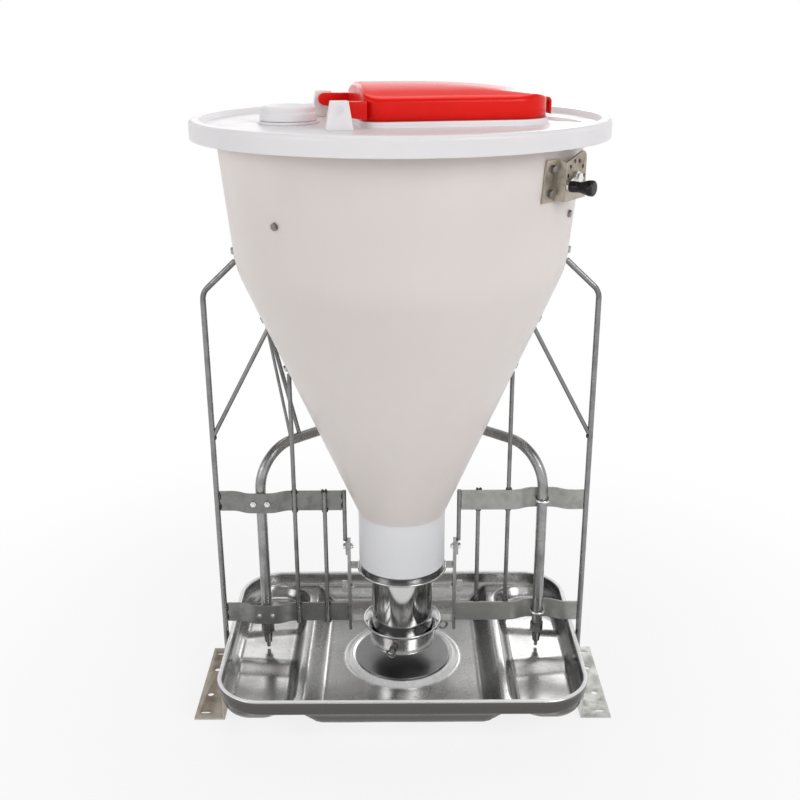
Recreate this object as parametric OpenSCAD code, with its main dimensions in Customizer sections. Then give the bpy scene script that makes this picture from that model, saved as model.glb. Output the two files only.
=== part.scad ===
// Dry and wet pig feeder: a plastic hopper over a pressed steel trough, carried by a welded rod
// frame, with a lever-set feed valve, a hand-set feed sleeve and two drinking nipples.
// Sizes are in millimetres. The origin is on the floor under the hopper's axis, +Z is up and
// the front of the feeder faces -Y.

/* [Hopper] */
// Outer radius of the hopper's wall at the height of its rim
hopper_top_r = 265; // [258:1:272]
// Outer radius at the shoulder, where the cone begins
shoulder_r = 246; // [238:1:252]
// Height of the shoulder above the floor
shoulder_z = 739; // [715:1:760]
// Height of the hopper's top rim above the floor
hopper_rim_z = 937; // [925:1:960]
// Outer radius of the neck
neck_r = 71; // [69:0.5:73]
// Height at which the cone runs into the neck
neck_top_z = 327; // [315:1:340]
// Height of the neck's lower edge
neck_bottom_z = 233; // [229:1:240]
// Wall thickness of the hopper
hopper_wall = 5; // [4:0.5:6]
// Width of the lip round the top rim
lip_w = 16; // [12:1:20]
// Thickness of the lip round the top rim
lip_t = 6; // [4:0.5:8]

/* [Lid] */
// Outer radius of the lid
lid_r = 300; // [296:1:310]
// Depth of the lid's skirt
lid_skirt = 26; // [20:1:32]
// Wall thickness of the lid
lid_t = 5; // [4:0.5:6]
// Depth of the lid's panel below its raised edge
lid_recess = 8; // [5:0.5:12]
// Turn of the lid on the hopper in degrees
lid_turn = 9; // [0:1:20]
// Height of the plinth round the filling hatch
plinth_h = 8; // [5:0.5:12]

/* [Hatch] */
// Left end of the hatch, from the lid's centre
hatch_left = -65; // [-70:1:-60]
// Right end of the hatch, from the lid's centre
hatch_right = 199; // [186:1:207]
// Half width of the hatch
hatch_half_w = 105; // [95:1:112]
// Height of the hatch's side
hatch_side = 29; // [25:1:34]
// Rise of the hatch's crown above its side
hatch_crown = 18; // [12:1:24]
// Place where the hatch's crown starts to fall, from the lid's centre
hatch_peak = -20; // [-40:1:20]
// Wall thickness of the hatch
hatch_wall = 3.5; // [2.5:0.5:5]
// Hinge line of the hatch, from the lid's centre
hinge_x = -100; // [-106:1:-96]
// Height of the hinge line above the lid's panel
hinge_h = 26; // [22:1:30]
// Radius of the moulded hinge stubs
stub_r = 5; // [4:0.5:6]
// Width of one hinge bracket
hinge_bracket_w = 20; // [14:1:26]

/* [Filling port] */
// Place of the filling port, from the lid's centre
port_x = -160; // [-175:1:-155]
// Outer radius of the filling port's tube
port_r = 36; // [30:1:38]
// Height of the filling port's tube above the lid's panel
port_h = 20; // [16:1:24]

/* [Feed setting] */
// Direction of the setting shaft, in degrees from the front towards +X
shaft_az = 54; // [50:1:58]
// Height of the setting shaft
shaft_z = 880; // [874:1:884]
// Radius of the setting shaft
shaft_r = 5; // [4:0.5:5.5]
// Distance of the index plate's outer face from the hopper's wall, at the shaft
index_plate_x = 15; // [12.5:0.5:18.5]
// Radius of the circle of index holes
index_r = 23; // [22:0.5:25]
// Number of index holes
index_holes = 8; // [6:1:9]
// Angle between two index holes in degrees
index_pitch = 33; // [26:1:33]
// Lever angle in the first hole, in degrees from the horizontal
lever_rest = 201; // [195:1:205]
// Thickness of the bracket's sheet
bracket_t = 3; // [2:0.5:4]
// Length of the lever's grip
grip_l = 34; // [28:1:42]
// Tooth module of the lifting pinion and rack
gear_module = 1.5; // [1.5:0.1:1.7]
// Number of teeth on the lifting pinion
pinion_teeth = 14; // [13:1:16]
// Radius of the valve rod
rod_r = 5; // [4.5:0.5:5.5]
// Radius of the feed valve
valve_r = 50; // [47:1:53]
// Height of the valve's cone
valve_cone_h = 42; // [34:1:50]
// Height of the bolts that hold the guide spider
spider_z = 826; // [820:1:828]

/* [Outlet] */
// Outer radius of the feed sleeve
sleeve_r = 51; // [49:0.5:52]
// Wall thickness of the feed sleeve
sleeve_wall = 2; // [1.5:0.5:3]
// Height of the feed sleeve's lower end
sleeve_bottom_z = 84; // [82:1:88]
// Height of the feed sleeve's upper end
sleeve_top_z = 247; // [244:1:248]
// Radius of the neck ring's flange
ring_r = 73.5; // [73:0.5:76]
// Height of the neck ring's flange
ring_z = 221; // [218:1:222]
// Height of the valve seat
seat_z = 262; // [261:1:270]
// Radius of the hole in the valve seat
seat_hole_r = 44; // [40:1:45]
// Outer radius of the outlet collar's mouth
collar_mouth_r = 66; // [64:0.5:69]
// Height of the outlet collar's mouth
collar_top_z = 121; // [118:1:123]
// Height of the outlet collar's lower edge
collar_bottom_z = 80; // [78:1:82]
// Height of the thumbscrews
thumb_z = 94; // [92:1:96]

/* [Trough] */
// Length of the trough over its walls
trough_l = 584; // [560:2:584]
// Depth of the trough over its walls, front to back
trough_w = 400; // [386:2:410]
// Radius of the trough's corners
trough_corner_r = 72; // [60:1:80]
// Height of the trough's rim
rim_z = 93; // [91:1:96]
// Radius of the rolled rim
rim_r = 4; // [3:0.5:5]
// Height of the ledge between the pressed hollows
ledge_z = 70; // [69:1:72]
// Height of the floor of the middle hollow
floor_z = 46; // [44:1:50]
// Height of the floor of the side wells
well_z = 53; // [50:1:56]
// Height of the saddle between two wells
saddle_z = 60; // [58:1:63]
// Sheet thickness of the trough
trough_t = 2; // [1.5:0.5:2.5]
// Radius of the raised boss in the middle
boss_r = 98; // [94:1:104]
// Radius of the spreader disc
disc_r = 80.5; // [76:0.5:84]

/* [Frame] */
// Distance of the posts from the middle
post_x = 302; // [301:1:306]
// Diameter of the posts
post_d = 9; // [8:0.5:10]
// Height at which a post bends towards the hopper
post_bend_z = 690; // [670:1:700]
// Diameter of the upright rods and the braces
bar_d = 7; // [6:0.5:8]
// Height of the lower end of a brace
brace_low_z = 452; // [430:1:470]
// Height of the upper end of a brace
brace_top_z = 649; // [630:1:665]
// Height of the strips
strip_h = 35; // [30:1:40]
// Thickness of the strips
strip_t = 3; // [2.5:0.5:4]
// Height of the upper strip's middle
strip_high_z = 341; // [330:1:345]
// Height of the lower strip's middle
strip_low_z = 133; // [130:1:136]
// Place of the outer rod
outer_rod_x = 175; // [170:1:180]
// Place of the middle rod
middle_rod_x = 126; // [120:1:132]
// Middle of the hanger bar's thickness
hanger_x = 88; // [86:0.5:90]
// Thickness of the hanger bar
hanger_t = 5; // [4:0.5:6]
// Width of the hanger bar, front to back
hanger_w = 20; // [16:1:24]
// Height of the hanger bar's lower end
hanger_bottom_z = 103; // [101:1:106]
// Height of the hanger bar's upper end
hanger_top_z = 268; // [266:1:272]

/* [Water] */
// Outer diameter of the water pipe
pipe_d = 17.2; // [15:0.1:18]
// Wall thickness of the water pipe
pipe_wall = 2.3; // [2:0.1:3]
// Distance of the pipe's legs from the middle
pipe_x = 230; // [226:1:234]
// Height of the pipe's run behind the hopper
pipe_run_z = 430; // [420:1:440]
// Bending radius of the pipe
pipe_bend_r = 70; // [60:1:75]
// Angle of the run, from the line between the legs
pipe_angle = 43; // [40:1:46]
// Height of the pipe's lower end
pipe_end_z = 112; // [111:0.5:113]

/* [Floor brackets] */
// Width of a floor bracket's foot
foot_w = 50; // [46:1:56]
// Length of a floor bracket, front to back
foot_l = 204; // [196:2:216]
// Place of the floor brackets' middle, in front of the hopper's axis
foot_y = -14; // [-18:1:-8]
// Sheet thickness of a floor bracket
foot_t = 3; // [2.5:0.5:4]
// Height of a floor bracket's upright flange
foot_flange_h = 88; // [86:1:89]
// Radius of the floor bolt holes
anchor_r = 5.5; // [4.5:0.5:6]
// Distance of the floor bolt holes from the middle, front to back
anchor_y = 36; // [32:1:42]
// Radius of the floor slots
slot_r = 3.25; // [3:0.25:4]
// Length of the floor slots over their ends
slot_l = 17; // [14:1:20]
// Distance of the floor slots from the middle, front to back
slot_y = 85; // [80:1:90]
// Distance of the holes and slots from the foot's outer edge
anchor_edge = 16; // [14:1:18]

/* [Fits] */
// Gap between two seated faces of different bodies
seat_gap = 0.4; // [0.3:0.1:0.6]
// Radial gap of a turning or sliding fit
run_gap = 0.08; // [0.05:0.01:0.1]
// Radial gap of a loose sliding fit
slide_gap = 0.8; // [0.6:0.1:1]
// Radial gap of a bolt in its hole
bolt_gap = 0.3; // [0.2:0.05:0.4]
// Gap between fixed pieces that touch along a curve
touch_gap = 0.1; // [0.05:0.05:0.2]

/* [Hidden] */
$fn = 96;

steel = "lightsteelblue";
zinc = "silver";
white = "mistyrose";
red = "red";
black = "dimgray";

// Small bolts of the frame and the hopper
bolt_r = 3;
bolt_head_r = 5.5;
bolt_head_h = 4;
bolt_hole_r = bolt_r + bolt_gap;
eye_r = 9;
eye_t = 3;
lug_l = 19;
lug_w = 12;

// Hopper, whose rim fits inside the lid's skirt
shoulder_round = 40;
neck_round = 12;
neck_bore_r = neck_r - hopper_wall;
skirt_gap = 14;
rim_h = 28;
hopper_lip_r = lid_r - lid_t - skirt_gap;
hopper_rim_r = hopper_lip_r - lip_w;
rim_start_z = hopper_rim_z - rim_h;

// Lid, with heights above the floor
panel_z = hopper_rim_z + lid_t;
lid_top_z = panel_z + lid_recess;
lid_edge_round = 6;
lid_band = 14;
plinth_z = panel_z + plinth_h;
plinth_w = 4;
hatch_ledge = 12;
hatch_corner_left = 25;
hatch_corner_right = 55;
hatch_z = plinth_z + seat_gap;
hatch_crown_r = (hatch_half_w ^ 2 + hatch_crown ^ 2) / (2 * hatch_crown);
hatch_fall_r = ((hatch_right - hatch_peak) ^ 2 + hatch_crown ^ 2) / (2 * hatch_crown);
hatch_top_z = hatch_z + hatch_side + hatch_crown;
hinge_z = panel_z + hinge_h;
knuckle_r = stub_r + 4;
arm_w = 12;
hinge_side_gap = 1.5;
hinge_bracket_y = hatch_half_w + hinge_side_gap + hinge_bracket_w / 2;
hinge_foot = [-19, 18];
hinge_head = [-11, 12];
tab_w = 40;
tab_h = 24;
tab_l = 20;
rib_count = 7;
rib_pitch = 11;
rib_l = 40;
rib_turn = -35;
rib_w = 2;
rib_h = 1.5;
rib_x = 222;
rib_y = -20;

// Filling port and its cap
port_wall = 4;
port_flange_r = port_r + 8;
port_flange_h = 4;
cap_wall = 4;
cap_top_t = 4;
cap_bore_r = port_r + seat_gap;
cap_r = cap_bore_r + cap_wall;
cap_step = 2;
cap_step_r = cap_r - cap_step;
cap_z = panel_z + port_flange_h + seat_gap;
cap_skirt_h = port_h - port_flange_h - 3 * cap_step;
cap_top_z = panel_z + port_h + seat_gap + cap_top_t;

// Lifting pinion and rack
pinion_r = gear_module * pinion_teeth / 2;
tooth_pitch = PI * gear_module;
tooth_angle = 25;
tooth_add = 0.8 * gear_module;
tooth_ded = gear_module;
tooth_thin = 0.12;
tooth_half = tooth_pitch / 4 - tooth_thin;
pinion_w = 8;
rack_w = 10;
rack_back = 6;
rack_pitch_y = rod_r + 3;
shaft_y = rack_pitch_y + pinion_r;
lever_travel = index_pitch * (index_holes - 1);
valve_lift = pinion_r * lever_travel * PI / 180;
rack_top_z = shaft_z + 2 * tooth_pitch;
rack_bottom_z = shaft_z - valve_lift - 2 * tooth_pitch;
rack_teeth_below = ceil((valve_lift + 2 * tooth_pitch) / tooth_pitch) - 1;
base_circle_r = pinion_r * cos(tooth_angle);

// Index plate, lever and grip
plate_x = hopper_r(shaft_z) + index_plate_x;
plate_r = index_r + 6;
plate_drop = 28;
plate_corner_r = 10;
plate_end_y = shaft_y + plate_r;
index_hole_r = 2.9;
pin_r = 2.5;
lever_t = 3;
lever_hub_r = shaft_r + 4;
lever_end_r = 7;
lever_x = plate_x + seat_gap;
shaft_head_h = 4;
shaft_head_r = shaft_r + 3;
grip_x = lever_x + lever_t + seat_gap;
grip_base_r = 7.5;
grip_waist_r = 6.8;
grip_end_r = 10.5;
pin_tip_x = plate_x + seat_gap;
pin_sink = 18;
grip_y = shaft_y + index_r * cos(lever_rest);
grip_z = shaft_z + index_r * sin(lever_rest);
bush_r = shaft_r + 4;
bush_in = 16;
leg_az = shaft_az - 5.5;
leg_w = 30;
leg_h = 56;
leg_bolt_pitch = 32;
fold_y = shaft_y + index_r * cos(lever_rest) - lever_end_r;
fold_w = 2;
fold_h = leg_h - 6;
plate_start = [fold_y + fold_w / 2, fold_h - plate_drop + 0.6];
plate_corner = [plate_end_y - plate_corner_r, plate_r + 5 - plate_corner_r];
plate_reach = plate_corner - plate_start;
plate_slope = atan2(plate_reach[1], plate_reach[0]) + asin(plate_corner_r / norm(plate_reach));
plate_slope_l = sqrt(norm(plate_reach) ^ 2 - plate_corner_r ^ 2);

// Guide spider inside the hopper
spider_az = [shaft_az + 12, shaft_az + 139, shaft_az - 94];
spider_arm_w = 22;
spider_arm_t = 5;
spider_tab_h = 30;
spider_tab_t = 14;
spider_hole_l = 2 * (hopper_wall + spider_tab_t);
hub_top_z = rack_bottom_z - 6;
hub_h = 18;
hub_r = rod_r + 9;
arm_z = hub_top_z - hub_h + 2;
ear_x = rack_w / 2 + 4;
ear_t = 6;
ear_w = 2 * (shaft_r + 5);

// Feed valve
valve_disc_t = 3;
valve_z = seat_z + seat_gap + 2;
valve_tip_r = rod_r + 3;
rod_sink = 2;

// Neck ring and outlet collar
ring_t = 2;
ring_bore_r = sleeve_r + slide_gap;
spigot_r = neck_bore_r - seat_gap;
spigot_wall = 2;
collar_bore_r = sleeve_r + slide_gap;
collar_wall = 2.5;
collar_r = collar_bore_r + collar_wall;
collar_cone_h = 9;
collar_lip_h = 2;
tab_t = 4;
strap_w = 18;
strap_in = 6;
thumb_az = [-15, 105, 225];
thumb_r = 3;
thumb_boss_r = 6;
thumb_boss_l = 8;
thumb_ring_r = 7;
thumb_wire_r = 1.7;
thumb_neck = 4;

// Trough, worked out from its middle
wall_x = trough_l / 2;
wall_y = trough_w / 2;
floor_half_x = 125;
ledge_half_x = 150;
bowl_in_x = 178;
bowl_in_floor_x = 195;
bowl_out_floor_x = wall_x - 14;
bowl_out_x = wall_x - trough_t - 2;
hollow_y = wall_y - trough_t - 4;
floor_y = hollow_y - 10;
bowl_y = hollow_y - 4;
well_end_y = bowl_y - 22;
well_start_y = 65;
saddle_half_y = 28;
bowl_corner_r = trough_corner_r - 10;
boss_top_r = disc_r + 3;
boss_h = 4;
disc_t = 2;
end_bolt_y = 62;
end_bolt_z = ledge_z + 10;

// Frame
post_r = post_d / 2;
bar_r = bar_d / 2;
rod_y = strip_t / 2 + bar_r;
hanger_face_x = hanger_x + hanger_t / 2;
inner_eye_t = 3;
inner_eye_h = 26;
inner_rod_x = hanger_face_x + bar_r;
post_top_z = shoulder_z + 16;
post_bend_r = 25;
bend_thin = 0.2;
bend_lap = 4;
cone_rise = (shoulder_z - neck_top_z) / (shoulder_r - neck_r);
outer_rod_top_z = neck_top_z + (outer_rod_x - neck_r) * cone_rise;
joggle_half = 22;
joggle_slope = 18;
hanger_bolt_z = hanger_top_z - 11;
wing_bolt_z = 181;
thin_nut_h = 3;
wing_half = 11;
wing_t = 2.5;
wing_l = 9;

// Water pipe, tee and nipples
pipe_r = pipe_d / 2;
joggle_y = pipe_r + 0.2 + strip_t / 2;
u_r = 2.5;
u_bend_r = pipe_r + 0.2 + u_r;
u_nut_r = 5;
u_nut_h = 4;
u_tail = 7;
pipe_leg_top_z = pipe_run_z - pipe_bend_r;
tee_y = pipe_x * tan(pipe_angle);
tee_run = pipe_x / cos(pipe_angle);
tee_r = 19;
tee_h = 34;
tee_sink = 10;
inlet_r = 10.5;
inlet_l = 36;
inlet_shoulder_r = inlet_r + 4;
inlet_start = tee_r + 3;
stay_r = [3.5, 2.5];
stay_run = [85, 66];
stay_top_x = [-240, -226];
stay_top_y = [60, 52];
stay_top_z = [745, 700];
nipple_hex_r = 11;
nipple_hex_h = 17;
nipple_r = 8;
nipple_h = 20;
nipple_pin_r = 3;
nipple_pin_tip_z = 65;
nipple_flange_r = 5;
nipple_flange_h = 2;
nipple_travel = 4;
nipple_lip = 10;
nipple_waterway_r = 3;

// Floor brackets
foot_in_x = wall_x;
foot_out_x = wall_x + foot_w;
anchor_x = foot_out_x - anchor_edge;

// Outer radius of the hopper at a height
function hopper_r(z) =
    z > rim_start_z
    ? hopper_rim_r + (hopper_r(rim_start_z) - hopper_rim_r) * (hopper_rim_z - z) / rim_h
    : z >= shoulder_z
    ? shoulder_r + (hopper_top_r - shoulder_r) * (z - shoulder_z) / (hopper_rim_z - shoulder_z)
    : z >= neck_top_z
    ? neck_r + (shoulder_r - neck_r) * (z - neck_top_z) / (shoulder_z - neck_top_z)
    : neck_r;

// Lean of the hopper's wall from the vertical at a height
function wall_lean(z) =
    z >= shoulder_z
    ? atan((hopper_top_r - shoulder_r) / (hopper_rim_z - shoulder_z))
    : z >= neck_top_z
    ? atan((shoulder_r - neck_r) / (shoulder_z - neck_top_z))
    : 0;

// Points of an arc of radius r that rounds the corner b between a and c
function rounded(a, b, c, r, steps = 6) =
    let (u = (a - b) / norm(a - b))
    let (v = (c - b) / norm(c - b))
    let (half = acos(u * v) / 2)
    let (centre = b + (u + v) / norm(u + v) * r / sin(half))
    let (p = b + u * r / tan(half) - centre)
    let (q = b + v * r / tan(half) - centre)
    let (start = atan2(p[1], p[0]))
    let (turn = atan2(q[1], q[0]) - start)
    let (sweep = turn > 180 ? turn - 360 : turn < -180 ? turn + 360 : turn)
    [
        for (i = [0 : steps])
            let (a = start + sweep * i / steps)
            centre + r * [cos(a), sin(a)]
    ];

// Outline of the hopper's wall, moved in by an inset
function hopper_line(inset) =
    let (foot = [neck_r - inset, neck_bottom_z])
    let (waist = [neck_r - inset, neck_top_z])
    let (shoulder = [shoulder_r - inset, shoulder_z])
    let (rim_start = [hopper_r(rim_start_z) - inset, rim_start_z])
    let (top = [hopper_rim_r - inset, hopper_rim_z])
    concat(
        [foot],
        rounded(foot, waist, shoulder, neck_round),
        rounded(waist, shoulder, rim_start, shoulder_round),
        [rim_start, top]
    );

function reversed(points) = [for (i = [len(points) - 1 : -1 : 0]) points[i]];

// Turns +X to the direction az, counted from the front towards +X
module facing(az) {
    rotate([0, 0, az - 90]) children();
}

// Puts +Z on the outward normal of the hopper's wall, at azimuth az and height z
module on_wall(az, z) {
    facing(az)
        translate([hopper_r(z), 0, z])
            rotate([0, 90 + wall_lean(z), 0])
                children();
}

// A rod between two points
module bar(from, to, r) {
    way = to - from;
    translate(from)
        rotate([0, acos(way[2] / norm(way)), atan2(way[1], way[0])])
            cylinder(r = r, h = norm(way));
}

// Turns a piece made on the right into the one on the left
module left() {
    rotate([0, 0, 180]) children();
}

// Hexagon head, shank and nut of a bolt, with its head on z = 0 and the nut below the grip
module bolt(grip, nut_h = bolt_head_h) {
    cylinder(r = bolt_head_r, h = bolt_head_h, $fn = 6);
    translate([0, 0, -grip - nut_h - 2]) cylinder(r = bolt_r, h = grip + nut_h + 2);
    translate([0, 0, -grip - nut_h]) cylinder(r = bolt_head_r, h = nut_h, $fn = 6);
}

// Solid inside the hopper's outer face, grown by a gap
module hopper_envelope(gap) {
    outer = hopper_line(-gap);
    rotate_extrude()
        polygon(concat([[0, neck_bottom_z]], outer, [[0, hopper_rim_z]]));
}

// Hopper

// Hole for a bolt through the hopper's wall
module wall_hole() {
    translate([0, 0, -3 * hopper_wall]) cylinder(r = bolt_hole_r, h = 6 * hopper_wall);
}

module hopper_shell() {
    outer = hopper_line(0);
    inner = hopper_line(hopper_wall);
    lip_root_r = min(hopper_r(hopper_rim_z - lip_t), hopper_rim_r) - hopper_wall / 2;
    color(white)
        difference() {
            union() {
                rotate_extrude() polygon(concat(outer, reversed(inner)));
                translate([0, 0, hopper_rim_z - lip_t])
                    rotate_extrude()
                        translate([lip_root_r, 0])
                            square([hopper_lip_r - lip_root_r, lip_t]);
            }
            for (az = spider_az) {
                on_wall(az, spider_z) wall_hole();
            }
            for (side = [-1, 1]) {
                on_leg() translate([side * leg_bolt_pitch / 2, 0, 0]) wall_hole();
            }
            frame_bolt_places() wall_hole();
            facing(shaft_az)
                translate([hopper_r(shaft_z) / 2, shaft_y, shaft_z])
                    rotate([0, 90, 0])
                        cylinder(r = bush_r + touch_gap, h = hopper_r(shaft_z));
        }
}

// Lid with its plinth and ribs

// Plan of the hatch, moved in by an inset
module hatch_plan(inset) {
    x0 = hatch_left + inset;
    x1 = hatch_right - inset;
    half = hatch_half_w - inset;
    rl = hatch_corner_left - inset;
    rr = hatch_corner_right - inset;
    translate([x0, -half + rl]) square([x1 - rr - x0, 2 * (half - rl)]);
    translate([x0 + rl, -half]) square([x1 - rr - x0 - rl, 2 * half]);
    translate([x1 - rr - 1, -half + rr]) square([rr + 1, 2 * (half - rr)]);
    for (side = [-1, 1]) {
        translate([x0 + rl, side * (half - rl)]) circle(r = rl);
        translate([x1 - rr, side * (half - rr)]) circle(r = rr);
    }
}

module hopper_lid() {
    edge = rounded(
        [lid_r, lid_top_z - lid_skirt], [lid_r, lid_top_z], [lid_r - lid_band, lid_top_z], lid_edge_round
    );
    color(white)
        rotate([0, 0, lid_turn])
            difference() {
                union() {
                    rotate_extrude()
                        polygon(concat(
                            [
                                [0, panel_z],
                                [0, hopper_rim_z],
                                [lid_r - lid_band - 5, hopper_rim_z],
                                [lid_r - lid_band, lid_top_z - lid_t],
                                [lid_r - lid_t, lid_top_z - lid_t],
                                [lid_r - lid_t, lid_top_z - lid_skirt],
                                [lid_r, lid_top_z - lid_skirt]
                            ],
                            edge,
                            [
                                [lid_r - lid_band, lid_top_z],
                                [lid_r - lid_band - 6, panel_z]
                            ]
                        ));
                    translate([0, 0, panel_z]) linear_extrude(plinth_h) hatch_plan(-plinth_w);
                    for (i = [0 : rib_count - 1]) {
                        step = i - (rib_count - 1) / 2;
                        translate([rib_x + i * rib_w, rib_y - step * rib_pitch, panel_z])
                            rotate([0, 0, rib_turn])
                                translate([-rib_l / 2, -rib_w / 2, 0])
                                    cube([rib_l, rib_w, rib_h]);
                    }
                }
                translate([0, 0, hopper_rim_z - 1])
                    linear_extrude(lid_t + plinth_h + 2) hatch_plan(hatch_ledge);
                translate([port_x, 0, hopper_rim_z - 1])
                    cylinder(r = port_r - port_wall, h = lid_t + 2);
            }
}

module hinge_brackets() {
    top = hinge_h + stub_r + 6;
    color(white)
        rotate([0, 0, lid_turn])
            for (side = [-1, 1]) {
                translate([hinge_x, side * hinge_bracket_y, panel_z])
                    rotate([90, 0, 0])
                        translate([0, 0, -hinge_bracket_w / 2])
                            difference() {
                                linear_extrude(hinge_bracket_w)
                                    polygon([
                                        [hinge_foot[0], 0],
                                        [hinge_foot[1], 0],
                                        [hinge_head[1], top],
                                        [hinge_head[0], top]
                                    ]);
                                translate([0, hinge_h, -1])
                                    cylinder(r = stub_r + run_gap, h = hinge_bracket_w + 2);
                            }
            }
}

// Block of the hatch under its crown, moved in by an inset and reaching below by a drop
module hatch_block(inset, drop) {
    intersection() {
        translate([0, 0, hatch_z - drop])
            linear_extrude(hatch_side + hatch_crown + drop + 1) hatch_plan(inset);
        translate([hatch_left - 1, 0, hatch_top_z - hatch_crown_r])
            rotate([0, 90, 0])
                cylinder(r = hatch_crown_r - inset, h = hatch_right - hatch_left + 2, $fn = 192);
        translate([hatch_peak, hatch_half_w + 1, hatch_top_z - hatch_fall_r])
            rotate([90, 0, 0])
                cylinder(r = hatch_fall_r - inset, h = 2 * hatch_half_w + 2, $fn = 720);
    }
}

module hatch() {
    color(red)
        rotate([0, 0, lid_turn]) {
            difference() {
                hatch_block(0, 0);
                hatch_block(hatch_wall, 1);
            }
            for (side = [-1, 1]) {
                hatch_arm(side);
            }
            translate([hatch_right - 1, -tab_w / 2, hatch_z])
                difference() {
                    cube([tab_l + 1, tab_w, tab_h]);
                    translate([-1, -1, -1]) cube([tab_l - 2, tab_w + 2, tab_h - 3]);
                }
        }
}

// Arm, knuckle and stub of the hatch's hinge on one side
module hatch_arm(side) {
    low = hatch_z + 4;
    high = hinge_z + knuckle_r;
    translate([0, side * (hatch_half_w - arm_w / 2), 0]) {
        translate([hinge_x, arm_w / 2, hinge_z]) rotate([90, 0, 0]) cylinder(r = knuckle_r, h = arm_w);
        translate([hinge_x, -arm_w / 2, low])
            cube([hatch_left + hatch_corner_left - hinge_x, arm_w, high - low]);
        translate([hinge_x, side * arm_w / 2, hinge_z])
            rotate([-90 * side, 0, 0])
                translate([0, 0, -1])
                    cylinder(r = stub_r, h = 1 + hinge_side_gap + hinge_bracket_w - 2);
    }
}

// Filling port and cap

module fill_port() {
    color(white)
        rotate([0, 0, lid_turn])
            translate([port_x, 0, panel_z])
                rotate_extrude()
                    polygon([
                        [port_r - port_wall, 0],
                        [port_flange_r, 0],
                        [port_flange_r, port_flange_h],
                        [port_r, port_flange_h],
                        [port_r, port_h],
                        [port_r - port_wall, port_h]
                    ]);
}

module port_cap() {
    color(white)
        rotate([0, 0, lid_turn])
            translate([port_x, 0, 0])
                rotate_extrude()
                    polygon([
                        [0, cap_top_z - cap_top_t],
                        [cap_bore_r, cap_top_z - cap_top_t],
                        [cap_bore_r, cap_z],
                        [cap_r, cap_z],
                        [cap_r, cap_z + cap_skirt_h],
                        [cap_step_r, cap_z + cap_skirt_h + cap_step],
                        [cap_step_r, cap_top_z - cap_step],
                        [cap_step_r - cap_step, cap_top_z],
                        [0, cap_top_z]
                    ]);
}

// Setting lever and its bracket

module adjuster_bracket() {
    color(zinc)
        difference() {
            union() {
                facing(shaft_az)
                    translate([plate_x - bracket_t, 0, shaft_z])
                        rotate([90, 0, 90]) {
                            linear_extrude(bracket_t)
                                polygon([
                                    [plate_start[0], -plate_drop],
                                    [plate_end_y, -plate_drop],
                                    [plate_end_y, plate_corner[1]],
                                    plate_corner,
                                    plate_start + plate_slope_l * [cos(plate_slope), sin(plate_slope)],
                                    plate_start
                                ]);
                            translate(plate_corner) cylinder(r = plate_corner_r, h = bracket_t);
                        }
                hull() {
                    facing(shaft_az)
                        translate([plate_x - bracket_t, fold_y, shaft_z - plate_drop])
                            cube([bracket_t, fold_w, fold_h]);
                    on_leg()
                        translate([-leg_h / 2, leg_w / 2 - 2, touch_gap]) cube([leg_h, 2, bracket_t]);
                }
                on_leg() translate([-leg_h / 2, -leg_w / 2, touch_gap]) cube([leg_h, leg_w, bracket_t]);
            }
            facing(shaft_az)
                translate([plate_x - bracket_t - 1, shaft_y, shaft_z])
                    rotate([90, 0, 90]) {
                        cylinder(r = shaft_r + run_gap, h = bracket_t + 2);
                        for (i = [0 : index_holes - 1]) {
                            rotate([0, 0, lever_rest - i * index_pitch])
                                translate([index_r, 0, 0]) cylinder(r = index_hole_r, h = bracket_t + 2);
                        }
                    }
            for (side = [-1, 1]) {
                on_leg()
                    translate([side * leg_bolt_pitch / 2, 0, -1])
                        cylinder(r = bolt_hole_r, h = bracket_t + 3);
            }
        }
}

// Puts +Z on the outward normal of the wall at the bracket's leg
module on_leg() {
    on_wall(leg_az, shaft_z) children();
}

module bracket_bolts() {
    color(steel)
        for (side = [-1, 1]) {
            on_leg()
                translate([side * leg_bolt_pitch / 2, 0, touch_gap + bracket_t])
                    bolt(touch_gap + bracket_t + hopper_wall + 0.5);
        }
}

module shaft_bush() {
    start = hopper_r(shaft_z) - bush_in;
    color(steel)
        facing(shaft_az)
            translate([start, shaft_y, shaft_z])
                rotate([0, 90, 0])
                    difference() {
                        cylinder(r = bush_r, h = plate_x - bracket_t - start);
                        translate([0, 0, -1])
                            cylinder(r = shaft_r + run_gap, h = plate_x - start);
                    }
}

// Half angle of a pinion tooth at a radius, in degrees
function tooth_half_angle(r) =
    let (pressure = acos(base_circle_r / r))
    tooth_half / pinion_r * 180 / PI
    + (tan(tooth_angle) * 180 / PI - tooth_angle)
    - (tan(pressure) * 180 / PI - pressure);

// Points of one pinion tooth round the angle a
function tooth_points(a) =
    let (tip = pinion_r + tooth_add)
    let (radii = [for (i = [0 : 3]) base_circle_r + (tip - base_circle_r) * i / 3])
    let (root = pinion_r - tooth_ded)
    let (foot = tooth_half_angle(base_circle_r))
    concat(
        [root * [cos(a - foot), sin(a - foot)]],
        [for (r = radii) r * [cos(a - tooth_half_angle(r)), sin(a - tooth_half_angle(r))]],
        [for (r = reversed(radii)) r * [cos(a + tooth_half_angle(r)), sin(a + tooth_half_angle(r))]],
        [root * [cos(a + foot), sin(a + foot)]]
    );

// Setting shaft with its pinion at the inner end and its head outside the lever
module adjuster_shaft() {
    step = 360 / pinion_teeth;
    outer = lever_x + lever_t;
    color(steel)
        facing(shaft_az)
            translate([0, shaft_y, shaft_z])
                rotate([90, 0, 90]) {
                    translate([0, 0, -pinion_w / 2])
                        linear_extrude(pinion_w)
                            polygon([
                                for (i = [0 : pinion_teeth - 1])
                                    each tooth_points(180 + step / 2 + i * step)
                            ]);
                    cylinder(r = shaft_r, h = outer);
                    translate([0, 0, outer]) cylinder(r = shaft_head_r, h = shaft_head_h, $fn = 6);
                }
}

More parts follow.
